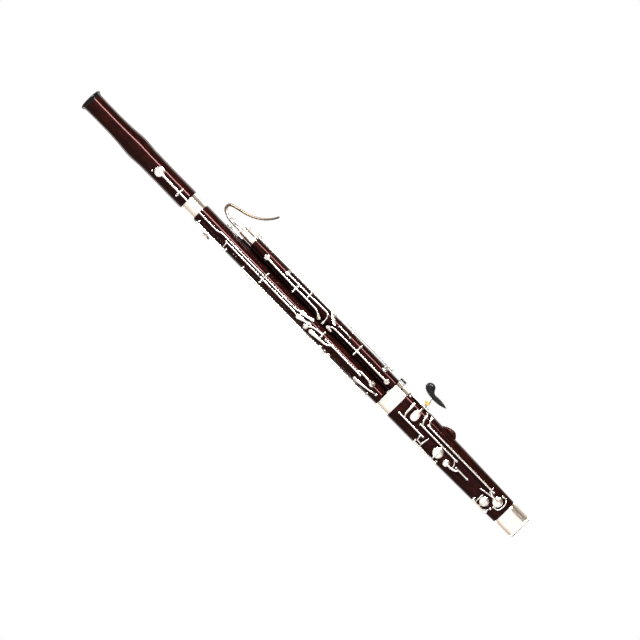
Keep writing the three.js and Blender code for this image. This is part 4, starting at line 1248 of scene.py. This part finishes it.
def u_tube():
    """The bent tube that turns the bore round under the boot, on its flange."""
    top = mm_box("u_tube")[1].z
    bend = (WING_X - LONG_X) / 2
    centre = (WING_X + LONG_X) / 2
    path = [Vector((LONG_X, 0, top - 0.4))]
    for step in range(33):
        turn = math.pi * (1 + step / 32)
        path.append(Vector((centre + bend * math.cos(turn), 0, top - 4 + bend * math.sin(turn) * 0.95)))
    path.append(Vector((WING_X, 0, top - 0.4)))
    shape = Shape()
    sweep(shape, path, 6.55, 40, facing=Vector((0, 1, 0)), round_ends=False)
    levels = edge_steps(top - 1.6, top, 0.3, 2)
    shape.rings([stadium(27.3 - inset, 13.7 - inset, 0, z) for z, inset in levels])
    collar = [(6.4, -4), (7.6, -4), (7.6, -2), (6.4, -1.6)]
    for x in (LONG_X, WING_X):
        lathe(shape, collar, Vector((x, 0, top)), Z_AXIS, 40, closed=True)
    finish_piece(shape.object("u_tube_drawn", NICKEL), "boot", "steel_posts", "u_tube")


def tenon_corks():
    """Cork wrappings of the three tenons, seen when the joints are pulled apart."""
    for name, body, x, low, high, radius in (
        ("long_foot_cork", "long_joint", LONG_X, 390, 414, 13.05),
        ("long_head_cork", "long_joint", LONG_X, 996, 1020, 13.6),
        ("wing_foot_cork", "wing_joint", WING_X, 390, 414, 11.0),
    ):
        profile = [(radius - 1.4, low), (radius - 0.3, low), (radius, low + 0.8)]
        profile += [(radius, high - 0.8), (radius - 0.3, high), (radius - 1.4, high)]
        ring = upright(Shape(), profile, x, 64, closed=True)
        finish_piece(ring.object(name, CORK), body, "cork")


def bell_lining():
    """The darkened bore seen through the bell's mouth."""
    skin = [(16.35, 1328.5), (14.45, 1260), (11.85, 1130), (9.85, 1031)]
    profile = skin + [(radius - 0.4, z) for radius, z in reversed(skin)]
    ring = upright(Shape(), profile, LONG_X, 96, closed=True)
    finish_piece(ring.object("bell_bore_lining", BORE), "bell", "maple")


# ---- Keywork tools ----

STEEL_OF = {joint: Shape() for joint in ("boot", "long_joint", "wing_joint", "bell")}
SPRINGS_OF = {joint: Shape() for joint in STEEL_OF}
SEATS_OF = {joint: Shape() for joint in STEEL_OF}
HOLES_OF = {joint: Shape() for joint in STEEL_OF}
JOINT_OF = {id(LONG): "long_joint", id(WING): "wing_joint", id(BELL): "bell", id(BOOT): "boot"}


def posts(node, surface, start, end, shares=(0, 1)):
    """Turned posts with flanged feet and ball heads, on one pin with slotted ends."""
    joint = JOINT_OF[id(surface)]
    steel = Shape()
    line = (end - start).normalized()
    rod(steel, start, end, PIN_RADIUS, 20, 0.1)
    for share in shares:
        head = start.lerp(end, share)
        out, height = surface.outward(head)
        foot = head - out * height
        profile = [(0, -0.8), (3.1, -0.8), (3.1, 0.35), (2.75, 0.8), (1.9, 1.15), (1.45, 1.7)]
        profile += [(1.3, height * 0.5), (1.45, height - 2.6), (1.75, height - 1.9), (0, height - 1.7)]
        lathe(steel, profile, foot, out, 28)
        ball(steel, head, BALL_RADIUS, 28)
    for tip, way in ((start, -line), (end, line)):
        face = [(0, 0), (1.75, 0), (1.75, 2.35), (1.6, 2.75), (1.3, 2.85), (0, 2.85)]
        lathe(steel, face, tip, way, 24)
        out = surface.outward(tip)[0]
        side = way.cross(out).normalized()
        slot_low = tip + way * 2.78 - side * 1.25
        slot_high = tip + way * 2.78 + side * 1.25
        sweep(SPRINGS_OF[joint], [slot_low, slot_low.lerp(slot_high, 0.5), slot_high], 0.2, 8)
    made = steel.object(node + "_turned", NICKEL)
    finish_piece(made, joint, "steel_posts", node)
    needle_spring(joint, surface, start, end)


def needle_spring(joint, surface, start, end):
    """A blued needle from the first post along the hinge tube, on the joint's side of it."""
    line = (end - start).normalized()
    out, height = surface.outward(start)
    root = start - out * min(3.6, height * 0.55)
    reach = min((end - start).length * 0.42, 24)
    rod(SPRINGS_OF[joint], root - line * 0.9, root + line * reach, 0.32, 10, 0.05)


class Key:
    """One key: metal parts over a joint's surface, with a leather pad under each cup."""

    def __init__(self, node, surface, side=FRONT):
        self.node, self.surface, self.side = node, surface, side
        self.metal, self.pads = Shape(), Shape()

    def at(self, x, z, lift):
        """The point above this key's side of the joint."""
        return self.surface.over(x, z, lift, self.side)

    def round_at(self, degrees, z, lift):
        return self.surface.around(degrees, z, lift)

    def place(self, point):
        """A point as it is, or one given as (x, z, lift)."""
        return point if isinstance(point, Vector) else self.at(*point)

    def tube(self, start, end):
        """The hinge tube that turns on the pin, with a raised ring at each end."""
        length = (end - start).length
        inner, outer = PIN_RADIUS + 0.25, TUBE_RADIUS
        profile = [(inner, 0), (outer - 0.2, 0), (outer + 0.12, 0.25), (outer + 0.12, 1.1)]
        profile.append((outer - 0.1, 1.35))
        profile += [(radius, length - height) for radius, height in reversed(profile)]
        lathe(self.metal, profile, start, end - start, 32, closed=True)
        return self

    def tube_between(self, start, end, low=0.0, high=1.0):
        """The hinge tube between two posts of a pin, whose places on it are shares of its length."""
        margin = (BALL_RADIUS + 0.4) / (end - start).length
        return self.tube(start.lerp(end, low + margin), start.lerp(end, high - margin))

    def plate(self, a, b, ra, rb, depth, crown=0.0):
        a, b = self.place(a), self.place(b)
        pill(self.metal, a, b, ra, rb, self.surface.outward(a.lerp(b, 0.5))[0], depth, crown)
        return self

    def arm(self, a, b, ra, rb):
        """A flat filed arm."""
        return self.plate(a, b, ra, rb, ARM_DEPTH)

    def touch(self, a, b, ra, rb, depth=2.2, crown=0.5):
        """A broad, slightly domed finger plate."""
        return self.plate(a, b, ra, rb, depth, crown)

    def bar(self, points, start=ARM, end=ARM, flatten=0.72):
        """A forged arm that bends smoothly through its points, with a rounded section."""
        points = [self.place(point) for point in points]
        out = self.surface.outward(points[len(points) // 2])[0]
        if len(points) > 2:
            path = fine_path(points, 10)
        else:
            path = [points[0].lerp(points[1], i / 6) for i in range(7)]
        sweep(self.metal, path, lambda share: start + (end - start) * share, 20, flatten, out)
        return self

    def cup(self, centre, r, seat=True):
        """A domed pad cup of radius r, with its pad and the tone hole under it."""
        centre = self.place(centre)
        out, height = self.surface.outward(centre)
        sides = 64 if r > 8 else 48
        profile = [(0, 0.9), (r - 0.9, 0.9), (r - 0.75, 0.05), (r - 0.3, 0), (r - 0.02, 0.3), (r, 1.35)]
        profile += [(r - 0.18, 1.75), (r - 0.6, 2.0), (r * 0.86, 2.35), (r * 0.7, 2.85)]
        profile += [(r * 0.5, 3.25), (r * 0.25, 3.5), (0, CUP_HEIGHT)]
        lathe(self.metal, profile, centre, out, sides)
        if seat:
            # An open cup's pad and rim are sunk, to leave room for the travel when it is pressed.
            face, rim_top = (-0.5, 0.4) if height < OPEN_LIFT else (-0.05, -0.3)
            pad = [(0, face), (r * 0.55, face), (r - 1.5, face + 0.08), (r - 1.0, face + 0.4)]
            pad += [(r - 0.95, 0.85), (0, 0.85)]
            lathe(self.pads, pad, centre, out, sides)
            self.seat(centre - out * height, out, r, rim_top)
        return self

    def seat(self, foot, out, r, top):
        """The rim of the tone hole that the pad closes, and the dark hole in it."""
        joint = JOINT_OF[id(self.surface)]
        outer, bore = r - 1.9, max(r * 0.52, 2.2)
        rim = [(bore, -2.5), (outer + 1.0, -2.5), (outer + 0.6, top - 0.8), (outer, top - 0.3)]
        rim += [(outer - 0.3, top), (bore + 0.3, top), (bore, top - 0.25)]
        lathe(SEATS_OF[joint], rim, foot, out, 48, closed=True)
        hole = [(0, -2.4), (bore + 0.1, -2.4), (bore + 0.1, -0.6), (0, -0.6)]
        lathe(HOLES_OF[joint], hole, foot, out, 36)

    def done(self):
        """Makes the key's metal piece, and its pad if it has one."""
        made = self.metal.object(self.node + "_silvered", SILVER)
        finish_piece(made, self.node, "silver_keys", self.node)
        if self.pads.verts:
            pad = self.pads.object(self.node + "_pad", LEATHER)
            finish_piece(pad, self.node, "cork")


def across_at(line, x):
    """The point of a level hinge line at a place across the joint."""
    return Vector((x, line[0].y, line[0].z))


def at_height(start, end, z):
    """The point of an upright hinge line at a height."""
    return start.lerp(end, (z - start.z) / (end.z - start.z))


def joint_hardware():
    """What stays on each joint beside its posts: springs, tone-hole rims and the holes."""
    for joint, springs in SPRINGS_OF.items():
        finish_piece(springs.object(joint + "_springs", SPRING), joint, "steel_posts")
        finish_piece(SEATS_OF[joint].object(joint + "_hole_rims", MAPLE), joint, "maple")
        finish_piece(HOLES_OF[joint].object(joint + "_tone_holes", BORE), joint, "maple")
        if STEEL_OF[joint].verts:
            finish_piece(STEEL_OF[joint].object(joint + "_fittings", NICKEL), joint, "steel_posts")


# ---- Keys of the bell and the long joint ----


def upright_key(node, posts_node, surface, low, high):
    """Starts a key on an upright pin, whose two ends are at (x, z, lift)."""
    start, end = surface.over(*low), surface.over(*high)
    posts(posts_node, surface, start, end)
    return Key(node, surface).tube_between(start, end), start, end


def cross_key(node, posts_node, surface, line, tube, hub):
    """Starts a key on a level pin: line is (left, right, z, lift), tube and hub are places on it."""
    line = surface.cross_line(*line)
    posts(posts_node, surface, *line)
    key = Key(node, surface).tube(across_at(line, tube[0]), across_at(line, tube[1]))
    return key, across_at(line, hub)


def bell_key():
    key, hub = cross_key(
        "low_b_flat_bell_key", "bell_key_posts", BELL, (-31, -13, 1052, 7), (-28, -16), -22
    )
    pad = key.at(-21, 1115, 9)
    crown = pad + Vector((0, -CUP_HEIGHT, 0))
    key.cup(pad, 11.5)
    key.bar([hub, hub.lerp(crown, 0.55) + Vector((0, -1.0, 0)), crown], 1.9, 2.7)
    key.bar([hub, (-22, 1001, 9)], 1.9, 1.6).done()
    ball(STEEL_OF["bell"], BELL.over(-31, 1129, 1.2), 2.2, 24)
    rod(STEEL_OF["bell"], BELL.over(-31, 1129, -1), BELL.over(-31, 1129, 1.4), 1.2, 20)


def thumb_levers():
    line = LONG.cross_line(-32, -8, 789, 7.5)
    posts("thumb_lever_posts", LONG, *line)
    key = Key("low_b_flat_lever", LONG)
    key.tube(across_at(line, -19.8), across_at(line, -11))
    key.touch((-13, 676.5, 6.5), (-11.8, 664, 6.5), 5.3, 2.6, 2.4)
    key.touch((-11.8, 664, 6.5), (-7.6, 649, 6.5), 2.6, 4, 2.4)
    key.bar([(-13.3, 680, 6.8), (-17, 694, 7), (-17, 740, 7.2), (-17, 789, 7.5)], 1.7, 1.5)
    tail = [(-17, 789, 7.5), (-17, 860, 7), (-17, 915, 6.5), (-17.6, 925, 6.4)]
    tail += [(-20.6, 934, 6), (-21, 944, 5.8), (-21, 990, 4.5), (-21, 1004, 5)]
    key.bar(tail, 1.5, 1.4).done()

    key = Key("low_b_lever", LONG)
    key.tube(across_at(line, -29), across_at(line, -20.6))
    key.touch((-25.2, 676.5, 6.5), (-22.4, 662, 6.5), 5.5, 2.6, 2.4)
    key.touch((-22.4, 662, 6.5), (-17.6, 646, 6.5), 2.6, 3.4, 2.4)
    key.bar([(-24.8, 680, 6.8), (-23.8, 694, 7), (-23.8, 740, 7.2), (-23.8, 789, 7.5)], 1.7, 1.5)
    key.bar([(-23.8, 789, 7.5), (-23.7, 850, 6.5), (-23.5, 906, 5.5)], 1.5, 1.4).done()
    lever_saddles()


def lever_saddles():
    """Three black bridges over the thumb levers, each on two feet."""
    saddle = Shape()
    for z in (799.5, 763, 702):
        bridge = [(-29, z, 4), (-27.4, z, 10.2), (-20, z, 10.3), (-12.4, z, 10.2), (-11, z, 4)]
        sweep(saddle, fine_path([LONG.over(*place) for place in bridge], 8), 1.15, 16)
        for x in (-29.4, -10.6):
            rod(saddle, LONG.over(x, z, -1), LONG.over(x, z, 4.6), 1.3, 20)
    finish_piece(saddle.object("lever_saddles", EBONITE), "long_joint", "black_rim")


def low_b_pad():
    key, start, end = upright_key(
        "low_b_pad_key", "low_b_pad_posts", LONG, (-40, 893, 6.5), (-40, 978, 6.5)
    )
    key.cup(key.round_at(-104, 946, 6), 10)
    key.bar([start.lerp(end, 0.6), key.round_at(-76, 946, 8.5), key.round_at(-104, 946, 9.4)], 1.6, 2.4)
    key.bar([(-40, 900, 6.5), (-31, 901, 9), (-23.6, 901, 9.6)])
    key.done()


def little_finger_keys():
    start, end = LONG.over(-40.4, 450, 6.5), LONG.over(-40.4, 838, 6.5)
    middle = 0.34
    posts("little_finger_posts", LONG, start, end, (0, middle, 1))
    for node, low, high, cup_z, touch_z, touch_end, width in (
        ("c_sharp_key", middle, 1, 815, 596, (-36.5, 595, 9), 4.6),
        ("e_flat_key", 0, middle, 476, 570, (-36, 570, 9), 5),
    ):
        key = Key(node, LONG)
        key.tube_between(start, end, low, high).cup(key.round_at(-108, cup_z, 1), 8.5)
        root = at_height(start, end, cup_z)
        key.bar([root, key.round_at(-80, cup_z, 5.6), key.round_at(-108, cup_z, 4.4)], 1.6, 2.2)
        key.touch(at_height(start, end, touch_z), touch_end, 2, width, 2)
        key.done()


def low_c_key():
    key, hub = cross_key("low_c_key", "low_c_posts", LONG, (-20, -8, 610, 6.5), (-17, -11), -14)
    key.cup((-28, 649.5, 4), 6.3, seat=False)
    key.bar([hub, (-18, 635, 6.5), (-28, 649.5, 7)], 2, 2)
    key.done()


def low_d_key():
    key, start, end = upright_key(
        "low_d_key", "low_d_posts", LONG, (-17, 490, 6.5), (-17, 597, 6.5)
    )
    key.touch((-28, 634, 7.5), (-26.4, 604, 7.5), 5, 2.4)
    key.bar([(-26.4, 606, 7.5), (-25, 592, 7.5), at_height(start, end, 578)], 2.3, 1.8)
    key.cup((-12.5, 457, 1), 7.5)
    key.bar([at_height(start, end, 503), (-11.4, 494, 6.5), (-11, 480, 6.3), (-12.5, 457, 5)], 2, 2.6)
    key.done()
    low_d_guard()


def low_d_guard():
    """A flat silver guard beside the low D cup, tapering to a small ball foot."""
    guard = Shape()
    route = [(-31, 494, 1), (-31, 488, 5), (-29.5, 474, 6), (-27, 456, 6)]
    route += [(-24.5, 444, 5.4), (-22.5, 437, 3)]
    path = fine_path([LONG.over(*place) for place in route], 10)
    out = LONG.outward(LONG.over(-28, 460, 5))[0]
    sweep(guard, path, lambda share: 4.2 - 2.4 * min(share * 1.6, 1), 22, 0.5, out)
    rod(guard, LONG.over(-31, 490, -1), LONG.over(-31, 490, 4), 1.6, 24)
    ball(guard, LONG.over(-22.3, 433.5, 1.6), 3.2, 28)
    finish_piece(guard.object("low_d_guard", SILVER), "long_joint", "silver_plate")


# ---- Keys of the wing joint ----


def high_d_key():
    key, hub = cross_key("high_d_key", "high_d_posts", WING, (5, 19.8, 724, 7), (8, 16.8), 14.5)
    key.cup((16.5, 817, 1), 7)
    key.bar([hub, (15, 770, 6.6), (16.5, 817, 5.1)], 1.6, 2.2)
    key.bar([hub, (14.5, 672, 7), (13.4, 658, 7.2), (9, 649, 8.2)], 1.5, 1.8)
    key.touch((10, 650, 8.2), (5.2, 643, 9), 2.4, 4.6)
    key.done()


def high_c_key():
    key, hub = cross_key("high_c_key", "high_c_posts", WING, (20, 30.6, 692, 6.5), (23, 27.6), 25.4)
    key.cup((25, 760, 1), 5.8)
    key.bar([hub, (25.2, 730, 6.2), (25, 760, 5)], 1.6, 2.0)
    key.bar([hub, (27, 648, 7), (25.6, 636, 7.2), (18, 630.5, 7.5), (8, 629, 8.6)], 1.5, 1.6)
    key.touch((9, 629.2, 8.4), (3, 629, 9), 2.2, 3.4)
    key.done()


def thumb_c_sharp_key():
    key, hub = cross_key(
        "thumb_c_sharp_key", "thumb_c_sharp_posts", WING, (5, 28, 532, 7), (8, 20), 14
    )
    key.cup((14, 438, 1), 7)
    key.bar([hub, (14, 480, 6.2), (14, 438, 5.1)], 1.6, 2.2)
    key.bar([hub, (13.2, 594, 7), (12, 606, 7.2), (8.5, 612, 8.2)], 1.5, 1.8)
    key.touch((8.8, 612, 8.2), (5, 615, 9), 2.2, 4.2)
    key.touch((5, 615, 9), (3.4, 604, 9), 4.2, 3.4)
    key.done()


def whisper_key():
    """A long key whose curved arm carries a small pad to the bocal's nipple."""
    start, end = WING.over(36, 621, 6), WING.over(35, 866, 6)
    posts("whisper_posts", WING, start, end)
    key = Key("whisper_key", WING)
    top = start.lerp(end, 0.96)
    elbow = top + Vector((5.5, -1.5, 3))
    key.tube_between(start, end)
    key.touch(start.lerp(end, 0.05), (21.5, 610, 8), 1.7, 4.4)
    key.bar([top, elbow], 1.9, 1.7, 0.9)
    route = [elbow, (37.4, -18, 880), (34, -17, 892), (31, -17, 908), (26, -15.5, 924), (19, -13.5, 937)]
    sweep(key.metal, fine_path(route, 10), 1.45, 20)
    over_nipple, away = Vector((18.4, -11, 937)), Vector((0, -1, 0))
    cup = [(0, 0.5), (2.9, 0.5), (3.1, 0), (3.5, 0.1), (3.6, 1.5), (3.2, 2.2), (2.0, 2.8), (0, 3)]
    lathe(key.metal, cup, over_nipple, away, 36)
    lathe(key.pads, [(0, -0.7), (2.3, -0.7), (2.8, -0.2), (2.8, 0.6), (0, 0.6)], over_nipple, away, 32)
    ball(key.metal, elbow, 2.0, 24)
    key.done()


def wing_trill_key():
    key, start, end = upright_key(
        "wing_trill_key", "wing_trill_posts", WING, (41.6, 448, 6), (41.6, 566, 6)
    )
    low, high = key.round_at(104, 560, 7.5), key.round_at(104, 588, 7.5)
    key.cup(key.round_at(34, 460, 1), 6.4)
    root = at_height(start, end, 460)
    key.bar([root, key.round_at(58, 460, 6), key.round_at(34, 460, 4.9)], 1.6, 2.2)
    key.touch(at_height(start, end, 555), low, 2, 4.4)
    key.touch(low, high, 4.4, 3)
    key.done()


# ---- Keys on the front of the boot ----


def pancake_key():
    """The broad thumb plate and its two-part arm."""
    key = upright_key("pancake_key", "pancake_posts", BOOT, (34.2, 324.5, 6), (34.2, 379, 6))[0]
    key.touch((3.5, 341, 5.6), (13, 341.5, 5.6), 9.4, 8.6, 2.6, 0.9)
    key.arm((13, 341.5, 6.6), (26, 341, 8), 3, 2)
    key.arm((26, 341, 8), (34.2, 341, 6.5), 2, 1.8)
    key.done()


def b_flat_thumb_key():
    key = upright_key(
        "b_flat_thumb_key", "b_flat_thumb_posts", BOOT, (12.5, 100, 6.5), (12.5, 305, 6.5)
    )[0]
    key.cup((4, 79, 1.2), 11.5)
    key.bar([(12.5, 297, 6.5), (16, 305, 7.4), (22, 309.4, 8)], 1.6, 1.9)
    key.touch((21, 309, 8), (30, 311, 8.5), 1.9, 3.4)
    key.bar([(12.5, 108, 6.5), (7.4, 102, 6.6), (4.8, 92, 6), (4, 79, 5.2)], 1.7, 3.0)
    key.bar([(19, 107.5, 6.2), (12.5, 107, 6.6), (5.6, 105.5, 6.6)], 1.3, 1.3)
    key.bar([(4, 92, 6.2), (1.4, 110, 7.2), (-1.6, 126, 7.4)], 1.5, 1.2)
    ball(key.metal, key.at(-1.6, 126, 7.4), 2.25, 24)
    key.done()


def f_sharp_thumb_keys():
    key = upright_key("f_sharp_lever", "f_sharp_lever_posts", BOOT, (2.5, 206, 6.5), (2.5, 319, 6.5))[0]
    key.bar([(2.5, 310, 6.5), (7, 317, 9), (14, 320.6, 10)], 1.6, 2.0)
    key.touch((12, 320, 10.5), (24, 323, 9), 2.0, 3.2)
    key.bar([(2.5, 213, 6), (-6, 205, 2.2), (-14.6, 202, 2.2)])
    key.done()
    key = upright_key(
        "f_sharp_pad_key", "f_sharp_pad_posts", BOOT, (-8.6, 162, 6.5), (-8.6, 196, 6.5)
    )[0]
    key.cup((-17, 219, 1), 8)
    key.bar([(-8.6, 188, 6.5), (-15, 194, 6.2), (-17.4, 204, 5.9), (-17, 219, 5)], 1.6, 2.5)
    key.done()


def g_sharp_thumb_keys():
    key = upright_key("g_sharp_lever", "g_sharp_lever_posts", BOOT, (-13, 296.5, 6.5), (-13, 370, 6.5))[0]
    key.bar([(-13, 353, 6.5), (-7, 358.4, 7.4), (2, 360.2, 8)], 1.6, 2.0)
    key.touch((0, 360, 8), (23, 361, 8.5), 2.0, 3.3)
    key.bar([(-13, 302.5, 6), (-20, 301.5, 5.6), (-26, 299.5, 5), (-27, 289, 4)], 1.6, 1.6)
    key.done()
    key = upright_key("g_sharp_pad_key", "g_sharp_pad_posts", BOOT, (-34, 236, 6), (-34, 302, 6))[0]
    key.cup((-14, 248, 1.2), 12.5)
    key.bar([(-34, 249, 6.2), (-26, 248.5, 6.8), (-14, 248, 5.2)], 1.7, 3.2)
    key.bar([(-34, 286.6, 6.2), (-25.5, 287.4, 8.2), (-7, 285, 8.4)], 1.6, 1.3)
    key.done()


def low_f_pad():
    key = upright_key("low_f_pad_key", "low_f_pad_posts", BOOT, (-31.4, 82, 6), (-31.4, 120, 6))[0]
    key.cup((-16, 101, 5), 10.8)
    key.bar([(-31.4, 102, 6.2), (-24, 101, 9.4), (-16, 101, 9.0)], 1.7, 2.8)
    key.bar([(-31.4, 113.5, 6.2), (-22, 114.4, 9.2), (-8, 114, 8.6)], 1.4, 1.2)
    key.done()


# ---- Keys on the back of the boot, under the right hand ----


def finger_keys():
    shares = (0, 0.29, 0.5, 0.71, 1)
    start, end = BOOT.over(12, 84, 6.5, BACK), BOOT.over(12, 276, 6.5, BACK)
    posts("right_hand_posts", BOOT, start, end, shares)

    def finger_key(node, part, cup, radius):
        """Starts a key on one part of the shared pin, with its cup and the cup's height on the pin."""
        key = Key(node, BOOT, BACK)
        key.tube_between(start, end, shares[part], shares[part + 1]).cup(cup, radius)
        return key, at_height(start, end, cup[1])

    key, root = finger_key("low_f_key", 0, (-5, 106, 4), 8.5)
    key.bar([root, (3, 106, 8.0), (-5, 106, 7.7)], 1.6, 2.4)
    key.touch((-5, 106, 8.2), (-17, 124, 8.2), 2.4, 5)
    key.done()
    for part, node, cup_z, bar_z, touch_z in (
        (1, "a_flat_key", 159, 150, 148), (2, "f_sharp_finger_key", 200, 192, 188),
    ):
        key, root = finger_key(node, part, (-5, cup_z, 1), 7.5)
        key.bar([root, (3, cup_z, 5.8), (-5, cup_z, 5.0)], 1.6, 2.2)
        key.touch(at_height(start, end, bar_z), (25, touch_z, 9), 1.7, 4.6)
        key.done()
    key, root = finger_key("g_plateau_key", 3, (-4, 243, 4), 10.5)
    key.bar([root, (4, 243, 8.0), (-4, 243, 7.8)], 1.6, 3.0)
    key.done()


# ---- Guards, bumpers and small screws ----


def boot_guards():
    """Wire guards round the low pads, band screws and the rubber stops."""
    steel = STEEL_OF["boot"]
    flange = [(0, -0.5), (2.8, -0.5), (2.8, 0.4), (2.3, 0.8), (1.4, 1.2), (1.2, 2.2), (0, 2.2)]
    for route in (
        [(-10, 77, 2), (-9, 70, 7), (-4, 65, 7.6), (8, 63.5, 7.6), (17, 66, 7), (21, 70, 5), (21, 78, 1)],
        [(-33, 98, 1), (-31, 91, 5), (-25, 84, 6), (-18, 80, 1)],
    ):
        points = [BOOT.over(*place) for place in route]
        sweep(steel, fine_path(points, 10), 1.15, 18)
        for end in (route[0], route[-1]):
            foot = BOOT.over(end[0], end[1], 0)
            lathe(steel, flange, foot, BOOT.outward(foot)[0], 28)
    for z in (393, 405):
        ball(steel, BOOT.over(-5, z, 0.1), 1.3, 20, 1.0)
    for x, z, surface, joint in ((26, 404, BOOT, "boot"), (37, 603, WING, "wing_joint")):
        stop = Shape()
        edge = surface.x(z) + surface.flat(z) + surface.radius(z)
        foot = surface.over(min(x, edge - 2), z, -0.4)
        out = surface.outward(foot)[0]
        lathe(stop, [(0, 0), (2.2, 0), (2.4, 0.3), (2.4, 1.7), (2.0, 2.1), (0, 2.2)], foot, out, 28)
        finish_piece(stop.object(joint + "_stop", EBONITE), joint, "black_rest")


def band_bumper():
    """A black rubber bumper in a silver bracket, at the right end of the boot's band."""
    bracket = Shape()
    for route, radius in (
        ([(35, -3, 408), (38.5, -3.4, 406), (41.5, -3.5, 405.4)], 1.9),
        ([(35.5, -3, 415), (37, -3.2, 419), (38.6, -3.4, 421)], 1.5),
    ):
        sweep(bracket, fine_path(route, 8), radius, 18)
    finish_piece(bracket.object("bumper_bracket", SILVER), "boot", "silver_plate")
    rubber = rod(Shape(), Vector((41.8, -3.6, 405)), Vector((41.8, -3.6, 420.5)), 2.4, 28, 0.8)
    finish_piece(rubber.object("band_bumper", EBONITE), "boot", "black_rest")


def wing_side_rod():
    """A thin fixed rod on the wing's right side, between two small posts."""
    low, high = WING.over(25, 563, 4.2), WING.over(25, 598, 4.2)
    made = Shape()
    rod(made, low, high, 1.5, 24)
    for place in (low, high):
        out, height = WING.outward(place)
        post = [(0, -0.6), (2.4, -0.6), (2.3, 0.4), (1.3, 1.1), (1.2, height), (0, height)]
        lathe(made, post, place - out * height, out, 24)
        ball(made, place, 2.1, 24)
    finish_piece(made.object("wing_side_rod", SILVER), "wing_joint", "silver_plate")


def long_joint_screws():
    """Two small stop screws near the top of the long joint."""
    for z in (866, 874):
        ball(STEEL_OF["long_joint"], LONG.over(-31, z, 0.2), 1.4, 20)


def build():
    boot_wood()
    boot_swelling()
    boot_metal()
    u_tube()
    wing_wood()
    wing_cheek()
    wing_trim()
    wing_finger_rings()
    boot_hole_bushes()
    band_bumper()
    wing_side_rod()
    long_wood()
    bell_wood()
    bell_trim()
    bell_lining()
    tenon_corks()
    bocal()
    lock_pin()
    hand_rest()
    for make in (
        bell_key, thumb_levers, low_b_pad, little_finger_keys, low_c_key, low_d_key,
        high_d_key, high_c_key, thumb_c_sharp_key, whisper_key, wing_trill_key,
        pancake_key, b_flat_thumb_key, f_sharp_thumb_keys, g_sharp_thumb_keys, low_f_pad,
        finger_keys, boot_guards, long_joint_screws,
    ):
        make()
    joint_hardware()


build()
camera_and_room()
